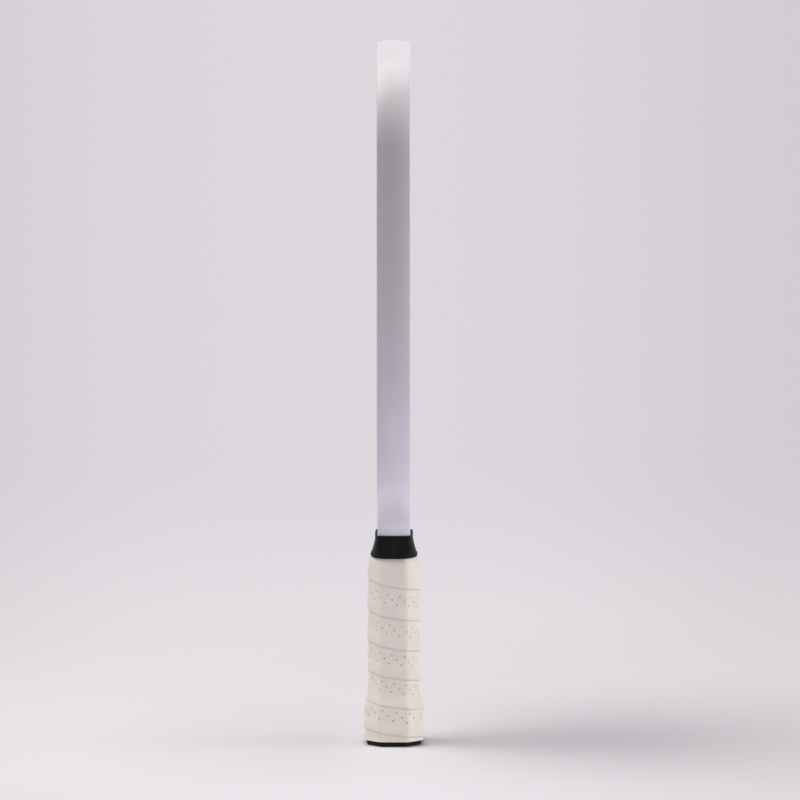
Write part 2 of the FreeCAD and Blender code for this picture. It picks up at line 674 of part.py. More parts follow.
def main():
    """Builds every sub-part, checks the document and writes one STEP file for each node."""
    honeycomb_core()
    face_layers()
    edge_guard()
    _, holes = butt_tacks()
    _, staple_room = grip_staple()
    handle_halves(holes)
    butt_cap(holes, staple_room)
    base_grip(staple_room)
    overgrip()
    finishing_tape()
    throat_collar()
    document.recompute()

    for item in document.Objects:
        if "Invalid" in item.State or "Error" in item.State:
            raise RuntimeError(f"{item.Label} did not build: {item.State}")
    os.makedirs("parts", exist_ok=True)
    for piece in NODES:
        shape = piece.Shape
        if shape.isNull() or not shape.isValid() or not shape.Solids:
            raise RuntimeError(f"{piece.Label} is not a valid solid")
        shape.exportStep(f"parts/{piece.Label}.step")
        box = shape.BoundBox
        print(f"{piece.Label}: {len(shape.Solids)} solid, {shape.Volume:.0f} mm3, "
              f"x {box.XMin:.2f}..{box.XMax:.2f}, y {box.YMin:.2f}..{box.YMax:.2f}, "
              f"z {box.ZMin:.2f}..{box.ZMax:.2f}")


main()
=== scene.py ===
"""Looks of the pickleball paddle: its guard, faces, collar, wrapped grip and butt cap, with light and camera.

Everything is in metres in the part's own frame: +Z up the handle to the tip, +X across the blade,
front face towards -Y, origin at the centre of the butt cap's bottom.
"""

import logging
import math
from dataclasses import dataclass, field
from enum import Enum

import bmesh
import bpy
from bmesh.types import BMEdge, BMesh, BMFace, BMVert
from bpy.types import Material, Node, NodeSocket, Object
from mathutils import Matrix, Vector


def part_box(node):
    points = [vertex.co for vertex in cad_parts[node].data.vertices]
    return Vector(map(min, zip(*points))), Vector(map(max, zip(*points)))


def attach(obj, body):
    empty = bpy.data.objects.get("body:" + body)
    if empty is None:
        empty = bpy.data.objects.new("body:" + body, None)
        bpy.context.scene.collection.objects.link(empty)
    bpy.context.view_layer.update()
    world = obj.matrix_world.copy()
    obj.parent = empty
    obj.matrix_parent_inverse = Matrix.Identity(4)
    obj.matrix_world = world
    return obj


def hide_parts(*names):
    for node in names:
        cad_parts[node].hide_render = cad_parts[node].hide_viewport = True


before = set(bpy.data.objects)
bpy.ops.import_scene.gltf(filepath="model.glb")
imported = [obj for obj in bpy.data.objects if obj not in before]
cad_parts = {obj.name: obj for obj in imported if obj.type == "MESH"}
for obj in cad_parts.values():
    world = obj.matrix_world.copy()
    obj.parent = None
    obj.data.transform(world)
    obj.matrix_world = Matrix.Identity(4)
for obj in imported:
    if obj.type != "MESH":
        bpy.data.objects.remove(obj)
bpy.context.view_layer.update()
BODY = "root"
MM = 0.001
# UV map of the wound tape, in metres along it and across it
TAPE_MAP = "tape"
MERGE = 1e-6
JOIN = 10 * MERGE
ROUND_PROFILE = 0.5
KEEP_MATERIAL = -1
SIDES = 8
EIGHTH = math.tau / SIDES
# A 45 degree bevel grows by this share of the distance that an octagon is stood out
BEVEL_SHARE = 2 - math.sqrt(2)
# Spans of the slow mottling over which colour and roughness change
SHADE_SPAN = (0.3, 0.7)
ROUGH_SPAN = (0.35, 0.7)
SUBSURFACE_SCALE = 2 * MM
log = logging.getLogger("paddle")

Colour = tuple[float, float, float]
Point = tuple[float, float, float]
Span = tuple[float, float]
Rows = tuple[Span, ...]
Ring = tuple[float, list[Vector]]


# ---------------------------------------------------------------- shared helpers

def millimetres(*rows: Span) -> Rows:
    """Pairs of lengths written in millimetres, in metres."""
    return tuple((first * MM, second * MM) for first, second in rows)


def part_way(low: float, high: float, value: float) -> float:
    """How far a value lies from low to high, held between 0 and 1."""
    return min(max((value - low) / (high - low), 0.0), 1.0)


def smooth(low: float, high: float, value: float) -> float:
    """Smooth step from 0 below low to 1 above high."""
    share = part_way(low, high, value)
    return share * share * (3 - 2 * share)


def mix(a: float, b: float, share: float) -> float:
    """Number that lies a share of the way from a to b."""
    return a + (b - a) * share


def signed_power(value: float, power: float) -> float:
    """Power of a number's size, with the number's own sign."""
    return math.copysign(abs(value) ** power, value)


def made_of(kind: type, result: dict, key: str = "geom") -> list:
    """The vertices or the edges among the geometry that an operator returns."""
    return [item for item in result[key] if isinstance(item, kind)]


def linked(name: str, data: bpy.types.ID) -> Object:
    """Puts a mesh, a lamp or a camera into the scene.

    Args:
        name: The object's name.
        data: What the object holds.

    Returns:
        The new object, at the origin.
    """
    made = bpy.data.objects.new(name, data)
    bpy.context.scene.collection.objects.link(made)
    return made


def aim(thing: Object, place: Vector, target: Vector) -> None:
    """Stands a lamp or the camera at a place and turns it to a target."""
    thing.location = place
    thing.rotation_euler = (target - place).to_track_quat("-Z", "Y").to_euler()


def finished(bm: BMesh, name: str, sharp_angle: float = 40.0, recalculate: bool = True) -> Object:
    """Turns a bmesh into an object at the origin with smooth faces and creases kept sharp.

    Args:
        bm: The piece's mesh, in place.
        name: The object's name.
        sharp_angle: Edges that turn by more degrees than this stay sharp.
        recalculate: True to turn every face outwards.

    Returns:
        The new object, linked to the scene.
    """
    if recalculate:
        bmesh.ops.recalc_face_normals(bm, faces=bm.faces)
    limit = math.radians(sharp_angle)
    for face in bm.faces:
        face.smooth = True
    for edge in bm.edges:
        edge.smooth = len(edge.link_faces) == 2 and edge.calc_face_angle(math.pi) < limit
    mesh = bpy.data.meshes.new(name)
    bm.to_mesh(mesh)
    bm.free()
    return linked(name, mesh)


# ---------------------------------------------------------------- sections and walls

@dataclass(frozen=True)
class Octagon:
    """A section of the handle: a rectangle about the Z axis with its corners cut at 45 degrees."""

    half_x: float
    half_y: float
    bevel: float

    def grown(self, growth: float, cut: float = 0.0) -> "Octagon":
        """The same section stood out evenly, with its corners cut back by a little more."""
        return Octagon(self.half_x + growth, self.half_y + growth, self.bevel + BEVEL_SHARE * growth + cut)

    def between(self, other: "Octagon", share: float) -> "Octagon":
        """A section that lies a share of the way to another."""
        return Octagon(mix(self.half_x, other.half_x, share), mix(self.half_y, other.half_y, share),
                       mix(self.bevel, other.bevel, share))

    def corners(self) -> list[Vector]:
        """The eight corners, clockwise from above, from the +Y end of the +X flat.

        Returns:
            The corners, in the section's plane.
        """
        x, y = self.half_x, self.half_y
        flat_x, flat_y = x - self.bevel, y - self.bevel
        return [Vector(spot) for spot in ((x, flat_y), (x, -flat_y), (flat_x, -y), (-flat_x, -y),
                                          (-x, -flat_y), (-x, flat_y), (-flat_x, y), (flat_x, y))]

    def lengths(self) -> list[float]:
        """Lengths of the eight sides, each from its corner to the next."""
        corners = self.corners()
        return [(corners[(index + 1) % SIDES] - corner).length for index, corner in enumerate(corners)]

    def arc(self, corner: int, radius: float, share: float) -> Vector:
        """A point on the round that replaces a corner.

        Args:
            corner: Which corner, clockwise from above.
            radius: The round's radius.
            share: How far along the round, from 0 to 1.

        Returns:
            The point, in the section's plane.
        """
        corners = self.corners()
        here = corners[corner % SIDES]
        before = (here - corners[(corner - 1) % SIDES]).normalized()
        after = (corners[(corner + 1) % SIDES] - here).normalized()
        start = here - before * radius * math.tan(EIGHTH / 2)
        centre = here + (after - before).normalized() * radius / math.cos(EIGHTH / 2)
        return centre + Matrix.Rotation(-EIGHTH * share, 2) @ (start - centre)

    def ring(self, radius: float, steps: int = 6) -> list[Vector]:
        """Points all round the section with rounded corners: each corner's arc in turn."""
        return [self.arc(corner, radius, step / steps)
                for corner in range(SIDES) for step in range(steps + 1)]


@dataclass(frozen=True)
class Oval:
    """A section between an ellipse, where its squareness is 2, and a rectangle, where it is far more."""

    half_x: float
    half_y: float
    squareness: float

    def grown(self, growth: float) -> "Oval":
        """The same section stood out evenly."""
        return Oval(self.half_x + growth, self.half_y + growth, self.squareness)

    def ring(self, steps: int) -> list[Vector]:
        """Points all round the section, closer together at its corners.

        Args:
            steps: How many points.

        Returns:
            The points, clockwise from above, from +X.
        """
        power = 2 / self.squareness
        turns = [-math.tau * step / steps for step in range(steps)]
        return [Vector((signed_power(math.cos(turn), power) * self.half_x,
                        signed_power(math.sin(turn), power) * self.half_y)) for turn in turns]


@dataclass
class Sleeve:
    """A wall of rings, each a height and as many points as the others, joined in order."""

    rings: list[Ring]

    def build(self, bm: BMesh, closed: bool) -> None:
        """Extrudes a circle from ring to ring.

        Args:
            bm: The mesh that gets the wall.
            closed: True to join the last ring to the first, False to cap both ends.
        """
        count = len(self.rings[0][1])
        ring = bmesh.ops.create_circle(bm, cap_ends=False, segments=count, radius=1.0)["verts"]
        start = edges = [edge for edge in bm.edges if edge.verts[0] in ring]
        self._place(ring, 0)
        for index in range(1, len(self.rings)):
            made = bmesh.ops.extrude_edge_only(bm, edges=edges)
            edges, new = made_of(BMEdge, made), set(made_of(BMVert, made))
            ring = [next(edge.other_vert(vert) for edge in vert.link_edges if edge.other_vert(vert) in new)
                    for vert in ring]
            self._place(ring, index)
        if closed:
            bmesh.ops.bridge_loops(bm, edges=start + edges)
        else:
            for loop in (start, edges):
                bmesh.ops.contextual_create(bm, geom=loop)

    def _place(self, ring: list[BMVert], index: int) -> None:
        """Moves a ring's vertices onto one of the sections."""
        for vert, spot in zip(ring, self.rings[index][1]):
            vert.co = (spot.x, spot.y, self.rings[index][0])


# ---------------------------------------------------------------- node trees and shared effects

@dataclass
class Tree:
    """A small helper that adds nodes to a material, a world or a group and joins them."""

    tree: bpy.types.NodeTree

    @classmethod
    def blank(cls, owner: bpy.types.ID) -> "Tree":
        """Empties the node tree of a new material or world.

        Args:
            owner: The material or the world.

        Returns:
            Its tree.
        """
        owner.use_nodes = True
        owner.node_tree.nodes.clear()
        return cls(owner.node_tree)

    def add(self, kind: str, settings: dict | None = None, **inputs: object) -> Node:
        """Adds a node, sets its properties, and sets or joins its inputs.

        Args:
            kind: The node's type, such as ShaderNodeMix.
            settings: Properties of the node.
            **inputs: Values, or sockets to join, by input name with _ for a space, or by index as i0, i1.

        Returns:
            The new node.
        """
        node = self.tree.nodes.new(kind)
        for name, value in (settings or {}).items():
            setattr(node, name, value)
        for name, value in inputs.items():
            socket = node.inputs[int(name[1:])] if name[1:].isdigit() else node.inputs[name.replace("_", " ")]
            self.join(value, socket)
        return node

    def join(self, value: object, socket: NodeSocket) -> None:
        """Joins a socket to another, or sets its value.

        Args:
            value: The other socket, a number, a vector or a colour of three parts.
            socket: The input that gets it.
        """
        if isinstance(value, NodeSocket):
            self.tree.links.new(value, socket)
        else:
            socket.default_value = (*value, 1.0) if socket.type == "RGBA" else value

    def math(self, operation: str, *values: object) -> NodeSocket:
        """The result of a Math node."""
        inputs = {f"i{index}": value for index, value in enumerate(values)}
        return self.add("ShaderNodeMath", {"operation": operation}, **inputs).outputs[0]

    def blend(self, share: object, first: object, second: object) -> NodeSocket:
        """A colour mixed from two by a share."""
        return self.add("ShaderNodeMix", {"data_type": "RGBA"}, i0=share, i6=first, i7=second).outputs[2]

    def ramp(self, value: object, low: float, high: float, to_low: float = 0.0,
             to_high: float = 1.0) -> NodeSocket:
        """A value taken smoothly from one range to another, held at its ends."""
        return self.add("ShaderNodeMapRange", {"interpolation_type": "SMOOTHSTEP"}, Value=value, From_Min=low,
                        From_Max=high, To_Min=to_low, To_Max=to_high).outputs["Result"]

    def noise(self, vector: object, scale: object, detail: float, roughness: float = 0.5) -> NodeSocket:
        """Cloudy noise that varies round 0.5."""
        return self.add("ShaderNodeTexNoise", Vector=vector, Scale=scale, Detail=detail,
                        Roughness=roughness).outputs["Fac"]

    def bump(self, height: object, distance: float, strength: float = 1.0, **under: object) -> NodeSocket:
        """Normals that a height raises, over other normals where they are given."""
        return self.add("ShaderNodeBump", Height=height, Distance=distance, Strength=strength,
                        **under).outputs["Normal"]


class Socket(Enum):
    """Kinds of socket that a shared effect has."""

    NUMBER = "NodeSocketFloat"
    VECTOR = "NodeSocketVector"


@dataclass
class Effect:
    """A shader node group that takes a vector and numbers, built once and used by several finishes."""

    name: str
    numbers: tuple[str, ...]
    results: tuple[str, ...]
    tree: Tree = field(init=False)
    given: bpy.types.bpy_prop_collection = field(init=False)

    def __post_init__(self) -> None:
        """Makes the group with its named sockets and its input node."""
        group = bpy.data.node_groups.new(self.name, "ShaderNodeTree")
        sockets = [("Vector", "INPUT", Socket.VECTOR)]
        sockets += [(name, "INPUT", Socket.NUMBER) for name in self.numbers]
        sockets += [(name, "OUTPUT", Socket.NUMBER) for name in self.results]
        for name, in_out, kind in sockets:
            group.interface.new_socket(name=name, in_out=in_out, socket_type=kind.value)
        self.tree = Tree(group)
        self.given = self.tree.add("NodeGroupInput").outputs

    def giving(self, **results: NodeSocket) -> "Effect":
        """Joins the results to the group's outputs."""
        self.tree.add("NodeGroupOutput", **results)
        return self

    def use(self, tree: Tree, **inputs: object) -> bpy.types.bpy_prop_collection:
        """Places the effect in a material with values of its own, and returns its outputs."""
        return tree.add("ShaderNodeGroup", {"node_tree": self.tree.tree}, **inputs).outputs


def grain_effect() -> Effect:
    """Fine moulded or leathery grain with soft mottling: a height and a shade that both vary round 0.5.

    Returns:
        The effect.
    """
    effect = Effect("fine_grain", ("Grain Scale", "Mottle Scale"), ("Height", "Mottle"))
    tree, place, scale = effect.tree, effect.given["Vector"], effect.given["Grain Scale"]
    cell_share = 0.4
    fine = tree.noise(place, scale, detail=3.0, roughness=0.6)
    cells = tree.add("ShaderNodeTexVoronoi", {"feature": "SMOOTH_F1"}, Vector=place, Scale=scale,
                     Smoothness=0.6).outputs["Distance"]
    height = tree.math("ADD", tree.math("MULTIPLY", fine, 1 - cell_share),
                       tree.math("MULTIPLY", cells, cell_share))
    mottle = tree.noise(place, effect.given["Mottle Scale"], detail=4.0, roughness=0.55)
    return effect.giving(Height=height, Mottle=mottle)


def scuff_effect() -> Effect:
    """Long faint rub marks and dust: a mask that is 0 on clean ground.

    Returns:
        The effect.
    """
    effect = Effect("scuffs_and_dust", ("Scale", "Amount"), ("Mask",))
    tree, place = effect.tree, effect.given["Vector"]
    stretch, streak_span = (1.0, 1.0, 0.12), (0.58, 0.75)
    patch_scale, patch_span = 40.0, (0.45, 0.65)
    long = tree.add("ShaderNodeMapping", Vector=place, Scale=stretch).outputs["Vector"]
    marks = tree.ramp(tree.noise(long, effect.given["Scale"], detail=5.0, roughness=0.7), *streak_span)
    where = tree.ramp(tree.noise(place, patch_scale, detail=2.0), *patch_span)
    mask = tree.math("MULTIPLY", tree.math("MULTIPLY", marks, where), effect.given["Amount"])
    return effect.giving(Mask=mask)


def weave_effect() -> Effect:
    """Plain weave of crossing threads in the X-Z plane: a height and which way the upper thread runs.

    Returns:
        The effect.
    """
    effect = Effect("plain_weave", ("Threads",), ("Height", "Warp"))
    tree = effect.tree
    parts = tree.add("ShaderNodeSeparateXYZ", Vector=effect.given["Vector"]).outputs
    across, along = [tree.math("MULTIPLY", parts[axis], effect.given["Threads"]) for axis in "XZ"]
    over = tree.math("PINGPONG", tree.math("ADD", tree.math("FLOOR", across), tree.math("FLOOR", along)), 1.0)
    bulge_x, bulge_z = [tree.math("SINE", tree.math("MULTIPLY", tree.math("FRACT", way), math.pi))
                        for way in (across, along)]
    upper = tree.math("MULTIPLY", over, bulge_x)
    lower = tree.math("MULTIPLY", tree.math("SUBTRACT", 1.0, over), bulge_z)
    return effect.giving(Height=tree.math("ADD", upper, lower), Warp=over)


GRAIN = grain_effect()
SCUFFS = scuff_effect()
WEAVE = weave_effect()


# ---------------------------------------------------------------- finishes

@dataclass(frozen=True)
class Finish:
    """A moulded or painted surface with grain, mottling and light scuffs."""

    name: str
    colour: Colour
    tint: Colour
    roughness: float = 0.4
    rougher: float = 0.1
    grain_size: float = 0.4 * MM
    grain_depth: float = 0.01 * MM
    mottle_size: float = 25 * MM
    scuffs: float = 0.15
    scuff_size: float = 4 * MM
    dust: Colour = (0.45, 0.44, 0.43)
    metallic: float = 0.0
    specular: float = 0.5
    coat: float = 0.0
    coat_roughness: float = 0.15
    subsurface: float = 0.0
    sheen: float = 0.0

    def material(self) -> Material:
        """Builds the finish as a node material.

        Returns:
            The material: even values stand on its shader, and patterns follow the piece's Object coordinates.
        """
        made = bpy.data.materials.new(self.name)
        made.diffuse_color = (*self.colour, 1.0)
        tree = Tree.blank(made)
        surface = self._surface(tree, tree.add("ShaderNodeTexCoord").outputs["Object"])
        shader = tree.add("ShaderNodeBsdfPrincipled", Metallic=self.metallic, Coat_Weight=self.coat,
                          Coat_Roughness=self.coat_roughness, Specular_IOR_Level=self.specular,
                          Subsurface_Weight=self.subsurface, Subsurface_Scale=SUBSURFACE_SCALE,
                          Sheen_Weight=self.sheen, **surface)
        tree.add("ShaderNodeOutputMaterial", Surface=shader.outputs["BSDF"])
        return made

    def _patterns(self, tree: Tree, place: NodeSocket,
                  flat: NodeSocket) -> tuple[bpy.types.bpy_prop_collection, NodeSocket]:
        """The shared grain and scuffs in this finish's sizes.

        Args:
            tree: The material's tree.
            place: Coordinates that the scuffs follow.
            flat: Coordinates that the grain follows.

        Returns:
            The grain's outputs and the mask of the scuffs.
        """
        grain = GRAIN.use(tree, Vector=flat, Grain_Scale=1 / self.grain_size,
                          Mottle_Scale=1 / self.mottle_size)
        scuffs = SCUFFS.use(tree, Vector=place, Scale=1 / self.scuff_size, Amount=self.scuffs)
        return grain, scuffs["Mask"]

    def _mottled(self, tree: Tree, mottle: NodeSocket) -> tuple[NodeSocket, NodeSocket]:
        """The colour and the roughness that change slowly with the mottling."""
        return (tree.blend(tree.ramp(mottle, *SHADE_SPAN), self.colour, self.tint),
                tree.ramp(mottle, *ROUGH_SPAN, self.roughness, self.roughness + self.rougher))

    def _surface(self, tree: Tree, place: NodeSocket) -> dict[str, NodeSocket]:
        """What changes over the surface: here grain, mottling and scuffs.

        Args:
            tree: The material's tree.
            place: The piece's Object coordinates.

        Returns:
            Colour, roughness and normals, by the names of the shader's inputs.
        """
        grain, marks = self._patterns(tree, place, place)
        ground, rough = self._mottled(tree, grain["Mottle"])
        return {"Base_Color": tree.blend(marks, ground, self.dust),
                "Roughness": tree.math("ADD", rough, marks),
                "Normal": tree.bump(grain["Height"], self.grain_depth)}


@dataclass(frozen=True)
class WovenFinish(Finish):
    """A composite or fabric with crossing threads under fine grit, with painted sheen and painted highlights
    on the threads.
    """

    scuff_size: float = 6 * MM
    dust: Colour = (0.35, 0.35, 0.36)
    threads_per_metre: float = 480.0
    weave_depth: float = 0.05 * MM
    weave_strength: float = 0.8
    # painted sheen and highlights: how much lighter the threads that run one way are, and the share of the
    # rest that lightens their crowns
    warp_shade: float = 0.35
    round_shade: float = 0.6
    round_top: float = 0.8

    def _surface(self, tree: Tree, place: NodeSocket) -> dict[str, NodeSocket]:
        """What changes over the surface: here the weave, with painted sheen on the threads that run one way
        and painted highlights on their crowns, the grit on it and slow mottling.

        Args:
            tree: The material's tree.
            place: The piece's Object coordinates.

        Returns:
            Colour, roughness and normals, by the names of the shader's inputs.
        """
        grain, marks = self._patterns(tree, place, place)
        weave = WEAVE.use(tree, Vector=place, Threads=self.threads_per_metre)
        rest = 1.0 - self.warp_shade
        # painted sheen: threads that run one way are lighter, and painted highlights make their crowns
        # lighter still
        crossing = tree.math("MULTIPLY", weave["Warp"], self.warp_shade)
        rounded = tree.ramp(weave["Height"], 0.0, self.round_top, 0.0, rest * self.round_shade)
        slow = tree.ramp(grain["Mottle"], *SHADE_SPAN, 0.0, rest * (1.0 - self.round_shade))
        shade = tree.math("ADD", tree.math("ADD", crossing, rounded), slow)
        ground = tree.blend(shade, self.colour, self.tint)
        rough = tree.math("ADD", tree.math("MULTIPLY", weave["Warp"], self.rougher), self.roughness)
        threads = tree.bump(weave["Height"], self.weave_depth, self.weave_strength)
        return {"Base_Color": tree.blend(marks, ground, self.dust),
                "Roughness": tree.math("ADD", rough, marks),
                "Normal": tree.bump(grain["Height"], self.grain_depth, Normal=threads)}


@dataclass(frozen=True)
class TapeFinish(Finish):
    """Soft coated tape, laid out on its own map: leathery grain, creases along it and painted shade along its
    cut edge.
    """

    scuff_size: float = 5 * MM
    dust: Colour = (0.45, 0.42, 0.39)
    # painted shade along the tape's lower edge, where the seam's shadow falls, and how far it reaches
    edge_colour: Colour = (0.68, 0.615, 0.555)
    edge_width: float = 1.5 * MM
    crease_depth: float = 0.09 * MM
    crease_size: float = 1.6 * MM
    crease_stretch: Point = (0.18, 1.0, 1.0)

    def _surface(self, tree: Tree, place: NodeSocket) -> dict[str, NodeSocket]:
        """What changes over the surface: here grain and creases that follow the tape, and the painted shade
        along the cut edge.

        Args:
            tree: The material's tree.
            place: The piece's Object coordinates, which only the scuffs follow.

        Returns:
            Colour, roughness and normals, by the names of the shader's inputs.
        """
        flat = tree.add("ShaderNodeUVMap", {"uv_map": TAPE_MAP}).outputs["UV"]
        across = tree.add("ShaderNodeSeparateXYZ", Vector=flat).outputs["Y"]
        grain, marks = self._patterns(tree, place, flat)
        ground, rough = self._mottled(tree, grain["Mottle"])
        # painted shade: the colour darkens towards the tape's lower edge, where the seam's shadow falls
        edged = tree.blend(tree.ramp(across, 0.0, self.edge_width, 1.0, 0.0), ground, self.edge_colour)
        stretched = tree.add("ShaderNodeMapping", Vector=flat, Scale=self.crease_stretch).outputs["Vector"]
        creases = tree.bump(tree.noise(stretched, 1 / self.crease_size, detail=2.0), self.crease_depth)
        return {"Base_Color": tree.blend(marks, edged, self.dust), "Roughness": rough,
                "Normal": tree.bump(grain["Height"], self.grain_depth, Normal=creases)}


@dataclass(frozen=True)
class PartedFinish(Finish):
    """A moulded piece with the fine raised line where the halves of its mould met, on the plane Y = 0."""

    line_half_width: float = 0.35 * MM
    line_height: float = 0.2 * MM
    line_colour: Colour = (0.024, 0.025, 0.024)

    def _surface(self, tree: Tree, place: NodeSocket) -> dict[str, NodeSocket]:
        """What changes over the surface: the plain finish with the line, a little paler, under its grain.

        Args:
            tree: The material's tree.
            place: The piece's Object coordinates.

        Returns:
            Colour, roughness and normals, by the names of the shader's inputs.
        """
        plain = super()._surface(tree, place)
        side = tree.math("ABSOLUTE", tree.add("ShaderNodeSeparateXYZ", Vector=place).outputs["Y"])
        ridge = tree.ramp(side, 0.0, self.line_half_width, 1.0, 0.0)
        tree.join(tree.bump(ridge, self.line_height), plain["Normal"].node.inputs["Normal"])
        return plain | {"Base_Color": tree.blend(ridge, plain["Base_Color"], self.line_colour)}


GUARD = Finish("guard_moulding", (0.785, 0.752, 0.808), (0.765, 0.732, 0.793), roughness=0.34, rougher=0.06,
               grain_size=0.6 * MM, grain_depth=0.004 * MM, scuffs=0.05)
COMPOSITE = WovenFinish("face_composite_cloth", (0.022, 0.0225, 0.024), (0.060, 0.061, 0.064), roughness=0.42,
                        grain_size=0.22 * MM, grain_depth=0.03 * MM, mottle_size=60 * MM, scuffs=0.05)
RUBBER = PartedFinish("collar_rubber", (0.0045, 0.005, 0.0045), (0.0075, 0.008, 0.0075), roughness=0.50,
                      rougher=0.12, grain_size=0.25 * MM, grain_depth=0.012 * MM, mottle_size=7 * MM,
                      scuffs=0.03, specular=0.08)
CAP_PLASTIC = Finish("cap_moulding", (0.006, 0.006, 0.007), (0.010, 0.010, 0.010), roughness=0.46,
                     grain_size=0.3 * MM, grain_depth=0.012 * MM, mottle_size=9 * MM, scuffs=0.02,
                     specular=0.12)
TAPE = TapeFinish("wrap_tape", (0.884, 0.818, 0.724), (0.849, 0.783, 0.690), roughness=0.62,
                  grain_size=0.35 * MM, grain_depth=0.02 * MM, mottle_size=8 * MM, scuffs=0.06,
                  subsurface=0.05, sheen=0.1)
# painted shade: the bottoms of the holes are dark, over mottled felt, to stand in for the shade inside them
PUNCHED = Finish("wrap_hole_painted_shade", (0.030, 0.024, 0.019), (0.42, 0.38, 0.34), roughness=0.9,
                 grain_size=0.1 * MM, mottle_size=3.1 * MM)
FOAM = Finish("cushion_foam", (0.028, 0.028, 0.029), (0.045, 0.045, 0.046), roughness=0.8,
              grain_size=0.3 * MM, grain_depth=0.05 * MM, mottle_size=3 * MM)
BADGE = Finish("badge_resin", (0.085, 0.085, 0.090), (0.110, 0.110, 0.115), roughness=0.18, coat=0.6,
               grain_size=0.5 * MM, grain_depth=0.002 * MM, scuffs=0.1)
HANDLE = Finish("handle_structural_foam", (0.20, 0.20, 0.21), (0.26, 0.26, 0.265), roughness=0.6,
                grain_size=0.5 * MM, grain_depth=0.03 * MM)
STEEL = Finish("plated_steel", (0.62, 0.62, 0.61), (0.50, 0.50, 0.50), roughness=0.25, metallic=1.0,
               grain_size=0.15 * MM, grain_depth=0.004 * MM, mottle_size=2 * MM)
CORE = Finish("core_polypropylene", (0.78, 0.79, 0.78), (0.70, 0.71, 0.71), roughness=0.5, subsurface=0.2)
FILM = Finish("bonding_film", (0.72, 0.69, 0.58), (0.62, 0.58, 0.46), roughness=0.3)
CLEAR_TAPE = Finish("guard_bonding_tape", (0.62, 0.62, 0.60), (0.55, 0.55, 0.53), roughness=0.35)
VINYL = WovenFinish("finishing_vinyl", (0.66, 0.66, 0.66), (0.74, 0.74, 0.74), roughness=0.45,
                    threads_per_metre=2200.0, weave_depth=0.01 * MM)


# ---------------------------------------------------------------- sub-assemblies

class SubAssembly:
    """What the sub-assemblies that are modelled here share: the way that their pieces are dressed."""

    def dress(self, piece: Object, slot: str, node: str, *finishes: Finish) -> Object:
        """Gives a piece its finishes, fixes it to the paddle and hides the CAD node that it stands for.

        Args:
            piece: The modelled piece.
            slot: Not used.
            node: The CAD node's name.
            *finishes: Its finishes, in the order of its faces' material numbers.

        Returns:
            The same piece.
        """
        for finish in finishes:
            piece.data.materials.append(finish.material())
        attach(piece, BODY)
        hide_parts(node)
        return piece


# ---------------------------------------------------------------- edge guard

